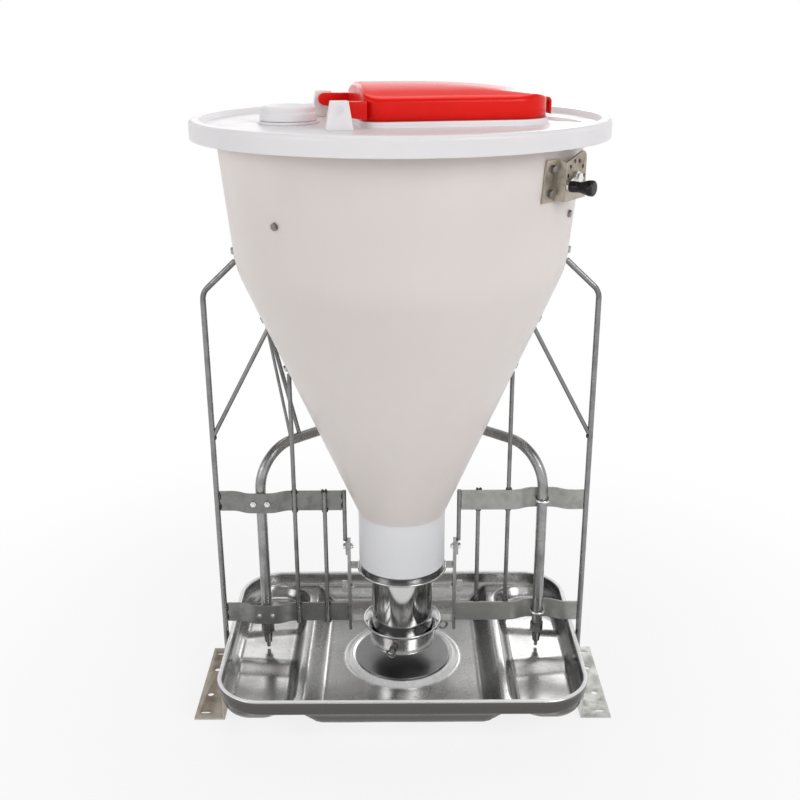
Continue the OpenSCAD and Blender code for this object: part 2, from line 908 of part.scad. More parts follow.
module lever_arm() {
    color(steel)
        facing(shaft_az)
            translate([lever_x, shaft_y, shaft_z])
                rotate([90, 0, 90])
                    difference() {
                        union() {
                            cylinder(r = lever_hub_r, h = lever_t);
                            rotate([0, 0, lever_rest]) {
                                translate([0, -lever_end_r, 0])
                                    cube([index_r, 2 * lever_end_r, lever_t]);
                                translate([index_r, 0, 0]) cylinder(r = lever_end_r, h = lever_t);
                            }
                        }
                        translate([0, 0, -1]) cylinder(r = shaft_r + touch_gap, h = lever_t + 2);
                        rotate([0, 0, lever_rest])
                            translate([index_r, 0, -1]) cylinder(r = pin_r + run_gap, h = lever_t + 2);
                    }
}

module lever_grip() {
    color(black)
        facing(shaft_az)
            translate([grip_x, grip_y, grip_z])
                rotate([0, 90, 0])
                    difference() {
                        rotate_extrude()
                            polygon([
                                [0, 0],
                                [grip_base_r, 0],
                                [grip_base_r, grip_l * 0.12],
                                [grip_waist_r, grip_l * 0.3],
                                [grip_waist_r, grip_l * 0.5],
                                [grip_end_r, grip_l * 0.92],
                                [grip_end_r - 1.5, grip_l],
                                [0, grip_l]
                            ]);
                        translate([0, 0, -1]) cylinder(r = pin_r + touch_gap / 2, h = pin_sink + 1);
                    }
}

module index_pin() {
    color(steel)
        facing(shaft_az)
            translate([pin_tip_x, grip_y, grip_z])
                rotate([0, 90, 0])
                    cylinder(r = pin_r, h = grip_x + pin_sink - pin_tip_x);
}

// Guide spider, valve rod and valve inside the hopper

module guide_spider() {
    color(zinc)
        difference() {
            union() {
                translate([0, 0, hub_top_z - hub_h]) cylinder(r = hub_r, h = hub_h);
                for (az = spider_az) {
                    intersection() {
                        facing(az)
                            translate([0, -spider_arm_w / 2, arm_z]) {
                                cube([hopper_r(spider_z), spider_arm_w, spider_arm_t]);
                                translate([hopper_r(spider_z) - hopper_wall - spider_tab_t, 0, 0])
                                    cube([
                                        spider_tab_t,
                                        spider_arm_w,
                                        spider_z + spider_tab_h / 2 - arm_z
                                    ]);
                            }
                        hopper_envelope(-hopper_wall - touch_gap);
                    }
                }
                facing(shaft_az)
                    translate([ear_x, shaft_y - ear_w / 2, hub_top_z - hub_h])
                        cube([ear_t, ear_w, shaft_z + ear_w / 2 - hub_top_z + hub_h]);
                facing(shaft_az)
                    translate([0, 0, hub_top_z - hub_h])
                        cube([ear_x + ear_t, shaft_y + ear_w / 2, hub_h / 2]);
            }
            translate([0, 0, hub_top_z - hub_h - 1]) cylinder(r = rod_r + run_gap, h = hub_h + 2);
            facing(shaft_az)
                translate([0, shaft_y, shaft_z])
                    rotate([0, 90, 0])
                        cylinder(r = shaft_r + run_gap, h = 2 * (ear_x + ear_t));
            for (az = spider_az) {
                on_wall(az, spider_z)
                    translate([0, 0, -spider_hole_l]) cylinder(r = bolt_hole_r, h = spider_hole_l);
            }
        }
}

// Bolts of the spider, long enough for their nuts to clear its upright tabs on the leaning wall
module spider_bolts() {
    lean = wall_lean(spider_z);
    depth = hopper_wall + spider_tab_t + bolt_head_r * abs(sin(lean)) + touch_gap;
    color(steel)
        for (az = spider_az) {
            on_wall(az, spider_z) translate([0, 0, touch_gap]) bolt(depth / cos(lean) + touch_gap);
        }
}

// Valve rod with the rack on its upper end
module valve_rod() {
    tip = tooth_half - tooth_add * tan(tooth_angle);
    root = tooth_half + tooth_ded * tan(tooth_angle);
    root_y = rack_pitch_y - tooth_ded;
    color(steel)
        facing(shaft_az) {
            translate([0, 0, valve_z + rod_sink])
                cylinder(r = rod_r, h = rack_bottom_z - valve_z - rod_sink);
            translate([-rack_w / 2, -rack_back, rack_bottom_z])
                cube([rack_w, rack_back + root_y, rack_top_z - rack_bottom_z]);
            for (i = [-rack_teeth_below : 1]) {
                translate([rack_w / 2, 0, shaft_z + i * tooth_pitch])
                    rotate([0, -90, 0])
                        linear_extrude(rack_w)
                            polygon([
                                [-root, root_y - 0.5],
                                [-root, root_y],
                                [-tip, rack_pitch_y + tooth_add],
                                [tip, rack_pitch_y + tooth_add],
                                [root, root_y],
                                [root, root_y - 0.5]
                            ]);
            }
        }
}

module valve_cone() {
    color(steel)
        translate([0, 0, valve_z])
            difference() {
                union() {
                    cylinder(r = valve_r, h = valve_disc_t);
                    translate([0, 0, valve_disc_t])
                        cylinder(r1 = valve_r - 4, r2 = valve_tip_r, h = valve_cone_h);
                }
                translate([0, 0, rod_sink]) cylinder(r = rod_r + touch_gap / 2, h = valve_cone_h + 10);
            }
}

// Neck ring, feed sleeve and outlet collar

module neck_ring() {
    color(steel)
        rotate_extrude()
            polygon([
                [ring_bore_r, ring_z],
                [ring_r, ring_z],
                [ring_r, ring_z + ring_t],
                [spigot_r, ring_z + ring_t],
                [spigot_r, seat_z + ring_t],
                [seat_hole_r, seat_z + ring_t],
                [seat_hole_r, seat_z],
                [spigot_r - spigot_wall, seat_z],
                [spigot_r - spigot_wall, ring_z + ring_t],
                [ring_bore_r, ring_z + ring_t]
            ]);
}

// Plate from a ring of radius r to both hanger bars
module hanger_straps(r, z) {
    for (turn = [0, 180]) {
        rotate([0, 0, turn])
            difference() {
                translate([r - strap_in, -strap_w / 2, z])
                    cube([hanger_x - hanger_t / 2 - r + strap_in, strap_w, tab_t]);
                translate([0, 0, z - 1]) cylinder(r = r, h = tab_t + 2);
            }
    }
}

module ring_tabs() {
    color(zinc) hanger_straps(ring_r, ring_z - 1);
}

module collar_tabs() {
    color(zinc) hanger_straps(collar_mouth_r, collar_top_z - tab_t);
}

module feed_sleeve() {
    color(steel)
        translate([0, 0, sleeve_bottom_z])
            difference() {
                cylinder(r = sleeve_r, h = sleeve_top_z - sleeve_bottom_z);
                translate([0, 0, -1])
                    cylinder(r = sleeve_r - sleeve_wall, h = sleeve_top_z - sleeve_bottom_z + 2);
            }
}

module outlet_collar() {
    knee_z = collar_top_z - collar_lip_h - collar_cone_h;
    color(steel)
        difference() {
            union() {
                rotate_extrude()
                    polygon([
                        [collar_bore_r, collar_bottom_z],
                        [collar_r, collar_bottom_z],
                        [collar_r, knee_z],
                        [collar_mouth_r, collar_top_z - collar_lip_h],
                        [collar_mouth_r, collar_top_z],
                        [collar_mouth_r - collar_wall, collar_top_z],
                        [collar_bore_r, knee_z + 1]
                    ]);
                for (az = thumb_az) {
                    facing(az)
                        translate([collar_r - 1, 0, thumb_z])
                            rotate([0, 90, 0]) cylinder(r = thumb_boss_r, h = thumb_boss_l + 1, $fn = 6);
                }
            }
            for (az = thumb_az) {
                facing(az)
                    translate([collar_bore_r - 2, 0, thumb_z])
                        rotate([0, 90, 0]) cylinder(r = thumb_r + run_gap, h = thumb_boss_l + 20);
            }
            translate([0, 0, collar_bottom_z - 1])
                cylinder(r = collar_bore_r, h = knee_z - collar_bottom_z);
        }
}

// Screw with a ring for a head, pointing at the sleeve
module thumbscrew(az) {
    tip = sleeve_r + seat_gap;
    neck = collar_r + thumb_boss_l + thumb_neck;
    color(steel)
        facing(az)
            translate([0, 0, thumb_z]) {
                translate([tip, 0, 0]) rotate([0, 90, 0]) cylinder(r = thumb_r, h = neck - tip);
                translate([neck + thumb_ring_r, 0, 0])
                    rotate([90, 0, 0])
                        rotate_extrude() translate([thumb_ring_r, 0]) circle(r = thumb_wire_r, $fn = 32);
            }
}

module thumbscrew_front() {
    thumbscrew(thumb_az[0]);
}

module thumbscrew_right() {
    thumbscrew(thumb_az[1]);
}

module thumbscrew_left() {
    thumbscrew(thumb_az[2]);
}

// Trough

// Rectangle with round corners about the middle
module round_rect(half_x, half_y, r) {
    translate([-half_x + r, -half_y]) square([2 * (half_x - r), 2 * half_y]);
    translate([-half_x, -half_y + r]) square([2 * half_x, 2 * (half_y - r)]);
    for (sx = [-1, 1], sy = [-1, 1]) {
        translate([sx * (half_x - r), sy * (half_y - r)]) circle(r = r);
    }
}

// Prism of an outline drawn in x and z, along the whole depth
module along_y(points) {
    translate([0, wall_y, 0]) rotate([90, 0, 0]) linear_extrude(2 * wall_y) polygon(points);
}

// Prism of an outline drawn in y and z, between two x
module along_x(points, x0, x1) {
    translate([x0, 0, 0]) rotate([90, 0, 90]) linear_extrude(x1 - x0) polygon(points);
}

// Middle hollow, grown by the sheet's thickness t
module middle_hollow(t) {
    intersection() {
        along_y([
            [-ledge_half_x - t, ledge_z],
            [-floor_half_x - t / 2, floor_z - t],
            [floor_half_x + t / 2, floor_z - t],
            [ledge_half_x + t, ledge_z]
        ]);
        along_x([
            [-hollow_y - t, ledge_z],
            [-floor_y - t, floor_z - t],
            [floor_y + t, floor_z - t],
            [hollow_y + t, ledge_z]
        ], -wall_x, wall_x);
    }
}

// Side bowl with two wells and a saddle, grown by the sheet's thickness t
module side_bowl(t) {
    intersection() {
        along_y([
            [bowl_in_x - t, ledge_z],
            [bowl_in_floor_x - t, well_z - t],
            [bowl_out_floor_x + t, well_z - t],
            [bowl_out_x + t, ledge_z]
        ]);
        along_x([
            [-bowl_y - t, ledge_z],
            [-well_end_y - t / 2, well_z - t],
            [-well_start_y + t / 2, well_z - t],
            [-saddle_half_y + t / 2, saddle_z - t],
            [saddle_half_y - t / 2, saddle_z - t],
            [well_start_y - t / 2, well_z - t],
            [well_end_y + t / 2, well_z - t],
            [bowl_y + t, ledge_z]
        ], 0, wall_x);
        translate([0, 0, floor_z - 10])
            linear_extrude(ledge_z) round_rect(wall_x - t / 4, bowl_y + t, bowl_corner_r);
    }
}

// Rolled rim: straight runs and quarter turns about the trough's outline
module rolled_rim() {
    r = trough_corner_r;
    for (turn = [0, 180]) {
        rotate([0, 0, turn]) {
            translate([-wall_x + r, -wall_y, rim_z])
                rotate([0, 90, 0]) cylinder(r = rim_r, h = trough_l - 2 * r);
            translate([wall_x, -wall_y + r, rim_z])
                rotate([-90, 0, 0]) cylinder(r = rim_r, h = trough_w - 2 * r);
            translate([wall_x - r, wall_y - r, rim_z])
                rotate_extrude(angle = 90) translate([r, 0]) circle(r = rim_r);
            translate([wall_x - r, -wall_y + r, rim_z])
                rotate([0, 0, -90])
                    rotate_extrude(angle = 90) translate([r, 0]) circle(r = rim_r);
        }
    }
}

module trough() {
    color(steel)
        difference() {
            union() {
                difference() {
                    union() {
                        translate([0, 0, ledge_z - trough_t])
                            linear_extrude(rim_z - ledge_z + trough_t)
                                round_rect(wall_x, wall_y, trough_corner_r);
                        middle_hollow(trough_t);
                        side_bowl(trough_t);
                        mirror([1, 0, 0]) side_bowl(trough_t);
                    }
                    translate([0, 0, ledge_z])
                        linear_extrude(rim_z)
                            round_rect(wall_x - trough_t, wall_y - trough_t, trough_corner_r - trough_t);
                    middle_hollow(0);
                    side_bowl(0);
                    mirror([1, 0, 0]) side_bowl(0);
                }
                rolled_rim();
                translate([0, 0, floor_z - 1])
                    cylinder(r1 = boss_r + 3, r2 = boss_top_r, h = boss_h + 1);
            }
            for (sx = [-1, 1], sy = [-1, 1]) {
                translate([sx * wall_x - 10, sy * end_bolt_y, end_bolt_z])
                    rotate([0, 90, 0]) cylinder(r = bolt_hole_r, h = 20);
            }
        }
}

module spreader_disc() {
    color(steel)
        translate([0, 0, floor_z + boss_h])
            cylinder(r = disc_r, h = disc_t);
}

// Floor bracket on the right
module base_bracket() {
    color(zinc)
        difference() {
            translate([foot_in_x, foot_y - foot_l / 2, 0]) {
                cube([foot_w, foot_l, foot_t]);
                cube([foot_t, foot_l, foot_flange_h]);
            }
            for (side = [-1, 1]) {
                translate([anchor_x, foot_y + side * anchor_y, -1]) cylinder(r = anchor_r, h = foot_t + 2);
                translate([anchor_x, foot_y + side * slot_y, -1]) floor_slot(foot_t + 2);
                translate([foot_in_x - 1, side * end_bolt_y, end_bolt_z])
                    rotate([0, 90, 0]) cylinder(r = bolt_hole_r, h = foot_t + 2);
            }
        }
}

module floor_slot(depth) {
    run = slot_l - 2 * slot_r;
    translate([-run / 2, -slot_r, 0]) cube([run, 2 * slot_r, depth]);
    for (side = [-1, 1]) {
        translate([side * run / 2, 0, 0]) cylinder(r = slot_r, h = depth);
    }
}

module base_bracket_right() {
    base_bracket();
}

module base_bracket_left() {
    mirror([1, 0, 0]) base_bracket();
}

module trough_bolts() {
    color(steel)
        for (turn = [0, 180], side = [-1, 1]) {
            rotate([0, 0, turn])
                translate([foot_in_x + foot_t, side * end_bolt_y, end_bolt_z])
                    rotate([0, 90, 0])
                        bolt(foot_t + trough_t);
        }
}

// Frame

// Turn of a wall eye about the hopper's axis, for a rod that stands off the middle by y
function eye_turn(z, y) = asin(y / hopper_r(z));

// Flat end of a rod on the hopper's wall: a bolted eye with a lug below it
module wall_eye(z, y = 0) {
    rotate([0, 0, eye_turn(z, y)])
        on_wall(90, z)
            translate([0, 0, touch_gap])
                difference() {
                    union() {
                        cylinder(r = eye_r, h = eye_t);
                        translate([0, -lug_w / 2, 0]) cube([lug_l, lug_w, eye_t]);
                    }
                    translate([0, 0, -1]) cylinder(r = bolt_hole_r, h = eye_t + 2);
                }
}

// Point on the outer face of a lug, where the middle of its rod's end sits
function lug_point(z) =
    let (lean = wall_lean(z))
    let (out = touch_gap + eye_t + 0.8)
    let (down = lug_l - 3)
    [
        hopper_r(z) + out * cos(lean) - down * sin(lean),
        0,
        z - out * sin(lean) - down * cos(lean)
    ];

// Places the frame's bolts, with +Z on the wall's outward normal
module frame_bolt_places() {
    for (turn = [0, 180]) {
        rotate([0, 0, turn]) {
            on_wall(90, post_top_z) children();
            on_wall(90, brace_top_z) children();
            rotate([0, 0, eye_turn(outer_rod_top_z, rod_y)]) on_wall(90, outer_rod_top_z) children();
        }
    }
}

module frame_bolts() {
    color(steel)
        frame_bolt_places()
            translate([0, 0, touch_gap + eye_t])
                bolt(touch_gap + eye_t + hopper_wall + 0.5);
}

// Upright of the frame: straight from the foot, round a bend and up to the shoulder
module post() {
    end = lug_point(post_top_z);
    bend = atan2(post_x - end[0], end[2] - post_bend_z);
    tangent = post_bend_r * tan(bend / 2);
    slope_l = norm([post_x - end[0], end[2] - post_bend_z]) - tangent;
    color(zinc) {
        translate([post_x - post_bend_r, 0, post_bend_z - tangent])
            rotate([90, 0, 0]) {
                translate([post_bend_r, 0, 0])
                    rotate([90, 0, 0]) cylinder(r = post_r, h = post_bend_z - tangent - foot_t);
                rotate([0, 0, -bend_lap])
                    rotate_extrude(angle = bend + 2 * bend_lap)
                        translate([post_bend_r, 0]) circle(r = post_r - bend_thin);
                rotate([0, 0, bend])
                    translate([post_bend_r, 0, 0])
                        rotate([-90, 0, 0]) cylinder(r = post_r, h = slope_l);
            }
        wall_eye(post_top_z);
    }
}

module brace() {
    color(zinc)
        difference() {
            union() {
                bar([post_x, 0, brace_low_z], lug_point(brace_top_z), bar_r);
                wall_eye(brace_top_z);
            }
            translate([post_x, 0, 0]) cylinder(r = post_r + touch_gap, h = post_bend_z);
        }
}

// Middle line of a strip in plan, with the joggle round the pipe
function strip_line(x0) = [
    [x0, 0],
    [pipe_x - joggle_half - joggle_slope, 0],
    [pipe_x - joggle_half, joggle_y],
    [pipe_x + joggle_half, joggle_y],
    [pipe_x + joggle_half + joggle_slope, 0],
    [post_x - post_r - touch_gap, 0]
];

module strip(x0, z) {
    line = strip_line(x0);
    half = [0, strip_t / 2];
    color(zinc)
        difference() {
            translate([0, 0, z - strip_h / 2])
                linear_extrude(strip_h)
                    polygon(concat(
                        [for (p = line) p - half],
                        [for (p = reversed(line)) p + half]
                    ));
            for (side = [-1, 1]) {
                translate([pipe_x + side * u_bend_r, 0, z])
                    rotate([-90, 0, 0]) cylinder(r = u_r + bolt_gap, h = joggle_y + strip_t);
            }
        }
}

module upper_strip() {
    strip(inner_rod_x + bar_r + touch_gap, strip_high_z);
}

module lower_strip() {
    strip(hanger_face_x, strip_low_z);
}

module outer_rod() {
    low = strip_low_z - strip_h / 2;
    top = outer_rod_top_z - (bar_r + 1) / tan(wall_lean(outer_rod_top_z));
    color(zinc) {
        translate([outer_rod_x, rod_y, low]) cylinder(r = bar_r, h = top - low);
        wall_eye(outer_rod_top_z, rod_y);
    }
}

module middle_rod() {
    color(zinc)
        bar(
            [middle_rod_x, rod_y, strip_low_z - strip_h / 2],
            [middle_rod_x, rod_y, strip_high_z + strip_h / 2],
            bar_r
        );
}

// Upright rod that ends in a flat eye on the hanger bar
module inner_rod() {
    eye_low = hanger_top_z - inner_eye_h + 2;
    color(zinc)
        difference() {
            union() {
                translate([inner_rod_x, 0, hanger_top_z])
                    cylinder(r = bar_r, h = strip_high_z + strip_h / 2 - hanger_top_z);
                translate([hanger_face_x, -bar_d, eye_low]) cube([inner_eye_t, 2 * bar_d, inner_eye_h]);
            }
            translate([hanger_face_x - 1, 0, hanger_bolt_z])
                rotate([0, 90, 0]) cylinder(r = bolt_hole_r, h = inner_eye_t + 2);
        }
}

module hanger_bar() {
    color(zinc)
        difference() {
            translate([hanger_x - hanger_t / 2, -hanger_w / 2, hanger_bottom_z])
                cube([hanger_t, hanger_w, hanger_top_z - hanger_bottom_z]);
            for (z = [hanger_bolt_z, wing_bolt_z]) {
                translate([hanger_x - hanger_t, 0, z])
                    rotate([0, 90, 0]) cylinder(r = bolt_hole_r, h = 2 * hanger_t);
            }
        }
}

module hanger_bolts() {
    color(steel)
        for (turn = [0, 180]) {
            rotate([0, 0, turn]) {
                translate([hanger_face_x + inner_eye_t, 0, hanger_bolt_z])
                    rotate([0, 90, 0]) bolt(inner_eye_t + hanger_t, thin_nut_h);
                translate([hanger_face_x, 0, wing_bolt_z])
                    rotate([0, 90, 0]) {
                        bolt(hanger_t, thin_nut_h);
                        translate([-wing_half, -wing_t / 2, bolt_head_h / 2])
                            cube([2 * wing_half, wing_t, wing_l]);
                    }
            }
        }
}

// Two stays from the pipe's run to the hopper's shoulder, behind the left-hand side
module stay_rods() {
    color(zinc)
        for (i = [0, 1]) {
            foot = [
                -pipe_x + stay_run[i] * cos(pipe_angle),
                stay_run[i] * sin(pipe_angle),
                pipe_run_z
            ];
            difference() {
                bar(foot, [stay_top_x[i], stay_top_y[i], stay_top_z[i]], stay_r[i]);
                hopper_envelope(touch_gap);
                mirror([1, 0, 0]) pipe_path(pipe_r + touch_gap);
            }
        }
}

module post_right() {
    post();
}

module post_left() {
    left() post();
}

module brace_right() {
    brace();
}

module brace_left() {
    left() brace();
}

module upper_strip_right() {
    upper_strip();
}

module upper_strip_left() {
    left() upper_strip();
}

module lower_strip_right() {
    lower_strip();
}

module lower_strip_left() {
    left() lower_strip();
}

module outer_rod_right() {
    outer_rod();
}

module outer_rod_left() {
    left() outer_rod();
}

module middle_rod_right() {
    middle_rod();
}

module middle_rod_left() {
    left() middle_rod();
}

module inner_rod_right() {
    inner_rod();
}

module inner_rod_left() {
    left() inner_rod();
}

module hanger_bar_right() {
    hanger_bar();
}

module hanger_bar_left() {
    left() hanger_bar();
}

// Water

// Solid along the right-hand pipe: leg, bend and run to the tee
module pipe_path(r, extra = 0) {
    translate([pipe_x, 0, 0])
        rotate([0, 0, 180 - pipe_angle]) {
            translate([0, 0, pipe_end_z - extra])
                cylinder(r = r, h = pipe_leg_top_z - pipe_end_z + extra);
            translate([pipe_bend_r, 0, pipe_leg_top_z])
                rotate([90, 0, 0])
                    rotate([0, 0, 90])
                        rotate_extrude(angle = 90) translate([pipe_bend_r, 0]) circle(r = r);
            translate([pipe_bend_r, 0, pipe_run_z])
                rotate([0, 90, 0]) cylinder(r = r, h = tee_run - tee_r + tee_sink - pipe_bend_r + extra);
        }
}

module pipe() {
    color(zinc)
        difference() {
            pipe_path(pipe_r);
            pipe_path(pipe_r - pipe_wall, 1);
        }
}

module pipe_right() {
    pipe();
}

module pipe_left() {
    mirror([1, 0, 0]) pipe();
}

// Tee behind the hopper, with the inlet on a shoulder that points to the back
module inlet_tee() {
    color(zinc)
        difference() {
            union() {
                translate([0, tee_y, pipe_run_z - tee_h / 2]) cylinder(r = tee_r, h = tee_h);
                translate([0, tee_y, pipe_run_z])
                    rotate([-90, 0, 0]) {
                        cylinder(r = inlet_shoulder_r, h = inlet_start);
                        cylinder(r = inlet_r, h = inlet_start + inlet_l);
                    }
            }
            translate([0, tee_y, pipe_run_z])
                rotate([-90, 0, 0]) cylinder(r = pipe_r - pipe_wall, h = inlet_start + inlet_l + 1);
            for (side = [0, 1]) {
                mirror([side, 0, 0])
                    translate([pipe_x, 0, pipe_run_z])
                        rotate([0, 0, 180 - pipe_angle])
                            rotate([0, 90, 0]) {
                                translate([0, 0, tee_run - 2 * tee_r])
                                    cylinder(r = pipe_r + touch_gap / 2, h = tee_r + tee_sink);
                                translate([0, 0, tee_run - tee_r])
                                    cylinder(r = pipe_r - pipe_wall, h = tee_r);
                            }
            }
        }
}

// Places of the U-bolts, with the bow in front of the pipe
module u_bolt_places() {
    for (turn = [0, 180], z = [strip_high_z, strip_low_z]) {
        rotate([0, 0, turn]) translate([pipe_x, 0, z]) children();
    }
}

module u_bolts() {
    legs = joggle_y + strip_t / 2 + u_tail;
    color(steel)
        u_bolt_places() {
            rotate([0, 0, 180])
                rotate_extrude(angle = 180) translate([u_bend_r, 0]) circle(r = u_r, $fn = 48);
            for (side = [-1, 1]) {
                translate([side * u_bend_r, 0, 0]) rotate([-90, 0, 0]) cylinder(r = u_r, h = legs);
            }
        }
}

module u_bolt_nuts() {
    color(steel)
        u_bolt_places()
            for (side = [-1, 1]) {
                translate([side * u_bend_r, joggle_y + strip_t / 2, 0])
                    rotate([-90, 0, 0])
                        difference() {
                            cylinder(r = u_nut_r, h = u_nut_h, $fn = 6);
                            translate([0, 0, -1]) cylinder(r = u_r + touch_gap / 2, h = u_nut_h + 2);
                        }
            }
}

// Nipple under the right-hand leg
module nipple() {
    low = pipe_end_z - nipple_hex_h - nipple_h;
    chamber = nipple_flange_h + nipple_travel + 2;
    color(steel)
        translate([pipe_x, 0, 0])
            difference() {
                union() {
                    translate([0, 0, pipe_end_z - nipple_hex_h])
                        cylinder(r = nipple_hex_r, h = nipple_hex_h, $fn = 6);
                    translate([0, 0, low]) cylinder(r1 = nipple_r - 2, r2 = nipple_r, h = nipple_h);
                }
                translate([0, 0, low - 1]) cylinder(r = nipple_pin_r + seat_gap, h = nipple_lip + 2);
                translate([0, 0, low + nipple_lip])
                    cylinder(r = nipple_flange_r + seat_gap, h = chamber);
                translate([0, 0, low + nipple_lip])
                    cylinder(r = nipple_waterway_r, h = nipple_h + nipple_hex_h);
            }
}

module nipple_pin() {
    seat = pipe_end_z - nipple_hex_h - nipple_h + nipple_lip + seat_gap;
    color(steel)
        translate([pipe_x, 0, 0]) {
            translate([0, 0, nipple_pin_tip_z])
                cylinder(r = nipple_pin_r, h = seat - nipple_pin_tip_z + 1);
            translate([0, 0, seat]) cylinder(r = nipple_flange_r, h = nipple_flange_h);
        }
}

module nipple_right() {
    nipple();
}

module nipple_left() {
    left() nipple();
}

module nipple_pin_right() {
    nipple_pin();
}

module nipple_pin_left() {
    left() nipple_pin();
}

hopper_shell();
hopper_lid();
hinge_brackets();
fill_port();
port_cap();
hatch();
adjuster_bracket();
bracket_bolts();
shaft_bush();
adjuster_shaft();
lever_arm();
lever_grip();
index_pin();
guide_spider();
spider_bolts();
valve_rod();
valve_cone();
neck_ring();
ring_tabs();
feed_sleeve();
outlet_collar();
collar_tabs();
thumbscrew_front();
thumbscrew_right();
thumbscrew_left();
trough();
spreader_disc();
base_bracket_left();
base_bracket_right();
trough_bolts();
post_left();
post_right();
brace_left();
brace_right();
frame_bolts();
upper_strip_left();
upper_strip_right();
lower_strip_left();
lower_strip_right();
outer_rod_left();
outer_rod_right();
middle_rod_left();
middle_rod_right();
inner_rod_left();
inner_rod_right();
hanger_bar_left();
hanger_bar_right();
hanger_bolts();
stay_rods();
pipe_left();
pipe_right();
inlet_tee();
u_bolts();
u_bolt_nuts();
nipple_left();
nipple_right();
nipple_pin_left();
nipple_pin_right();
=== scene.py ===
"""Looks of a wet and dry pig feeder: its finishes, its formed pieces and the studio round them.

Every length is in metres and every place is in the feeder's own frame: the origin is on the floor
under the hopper's axis, +Z is up and the front faces -Y.
"""

from __future__ import annotations

import logging
import math
from dataclasses import dataclass
from enum import Enum
from typing import Callable, Sequence, Union

import bmesh
import bpy
from mathutils import Matrix, Vector, noise

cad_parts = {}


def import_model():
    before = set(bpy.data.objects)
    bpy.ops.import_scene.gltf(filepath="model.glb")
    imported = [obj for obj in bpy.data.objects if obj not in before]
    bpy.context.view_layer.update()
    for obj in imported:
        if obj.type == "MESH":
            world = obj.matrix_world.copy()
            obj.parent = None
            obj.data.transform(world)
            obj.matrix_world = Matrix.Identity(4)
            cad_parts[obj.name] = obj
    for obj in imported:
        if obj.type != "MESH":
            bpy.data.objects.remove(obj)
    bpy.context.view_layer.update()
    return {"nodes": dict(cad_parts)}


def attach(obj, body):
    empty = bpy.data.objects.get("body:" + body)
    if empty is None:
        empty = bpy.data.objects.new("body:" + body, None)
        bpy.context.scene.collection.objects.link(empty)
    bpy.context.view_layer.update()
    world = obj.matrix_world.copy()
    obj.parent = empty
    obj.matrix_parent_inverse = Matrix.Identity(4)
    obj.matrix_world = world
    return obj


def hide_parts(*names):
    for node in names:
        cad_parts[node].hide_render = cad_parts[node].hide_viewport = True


LOG = logging.getLogger("pig_feeder")
UPRIGHT = Matrix.Identity(4)
FULL_TURN = 2.0 * math.pi
WELD_DIST = 1e-6
FLAT_ANGLE = math.radians(0.3)
SHARP_ANGLE = math.radians(32.0)
QUARTER_TURN = math.pi / 2.0
SMOOTH_CREASE = 60.0
MOULDED_EDGE = 0.0011
CAP_EDGE = 0.0009
BAR_EDGE = 0.0006
SHEET_EDGE = 0.0005
FINE_EDGE = 0.0004
PIN_EDGE = 0.0003
LID_TURN = Matrix.Rotation(math.radians(9.0), 4, "Z")
HINGE_X = -0.100
HINGE_Z = 0.968
NUT_EASE = 0.09
BEAD_LUMPS = 1.9
BEAD_SWELL = 0.28
EDGE_WEAR = (0.53, 0.62)
CLOUD_ROUGHNESS = 0.55

Operand = Union["Value", float]
Row = tuple[float, float]
Triple = tuple[float, float, float]
Colour = Triple


class Side(Enum):
    """A panel of the frame: the left one is the right one turned half round."""

    RIGHT = 0.0
    LEFT = math.pi

    def turn(self) -> Matrix:
        """Returns the turn that takes a right-hand piece to this side."""
        return Matrix.Rotation(self.value, 4, "Z")


class Body(Enum):
    """The feeder's rigid bodies, as its record names them."""

    FRAME = "frame"
    HATCH = "hatch"
    PORT_CAP = "port_cap"
    SLEEVE = "sleeve"
    LEVER = "lever"
    INDEX_KNOB = "index_knob"
    VALVE = "valve"
    SCREW_FRONT = "thumbscrew_front"
    SCREW_RIGHT = "thumbscrew_right"
    SCREW_LEFT = "thumbscrew_left"
    PIN_LEFT = "nipple_pin_left"
    PIN_RIGHT = "nipple_pin_right"


class Value:
    """A shader socket that takes part in Python expressions on numbers."""

    def __init__(self, shader: "Shader", socket: bpy.types.NodeSocket | None) -> None:
        """Keeps the shader and the socket, which is None on a node that gives nothing."""
        self.shader = shader
        self.socket = socket

    def _math(self, operation: str, first: Operand, second: Operand) -> "Value":
        """Returns what a Math node makes of two operands."""
        return self.shader.node("ShaderNodeMath", {"operation": operation}, {0: first, 1: second})

    def __add__(self, other: Operand) -> "Value":
        """Returns the sum of both."""
        return self._math("ADD", self, other)

    def __radd__(self, other: float) -> "Value":
        """Returns the sum of a number and this value."""
        return self._math("ADD", other, self)

    def __sub__(self, other: Operand) -> "Value":
        """Returns this value less another."""
        return self._math("SUBTRACT", self, other)

    def __rsub__(self, other: float) -> "Value":
        """Returns a number less this value."""
        return self._math("SUBTRACT", other, self)

    def __mul__(self, other: Operand) -> "Value":
        """Returns the product of both."""
        return self._math("MULTIPLY", self, other)

    def __rmul__(self, other: float) -> "Value":
        """Returns the product of a number and this value."""
        return self._math("MULTIPLY", other, self)

    def span(self, low: float, high: float, start: float = 0.0, end: float = 1.0) -> "Value":
        """Eases the value from one range into another.

        Args:
            low: The value that gives start.
            high: The value that gives end.
            start: The result at low and below.
            end: The result at high and above.

        Returns:
            The eased value.
        """
        return self.shader.node(
            "ShaderNodeMapRange",
            {"interpolation_type": "SMOOTHSTEP"},
            {0: self, 1: low, 2: high, 3: start, 4: end},
        )


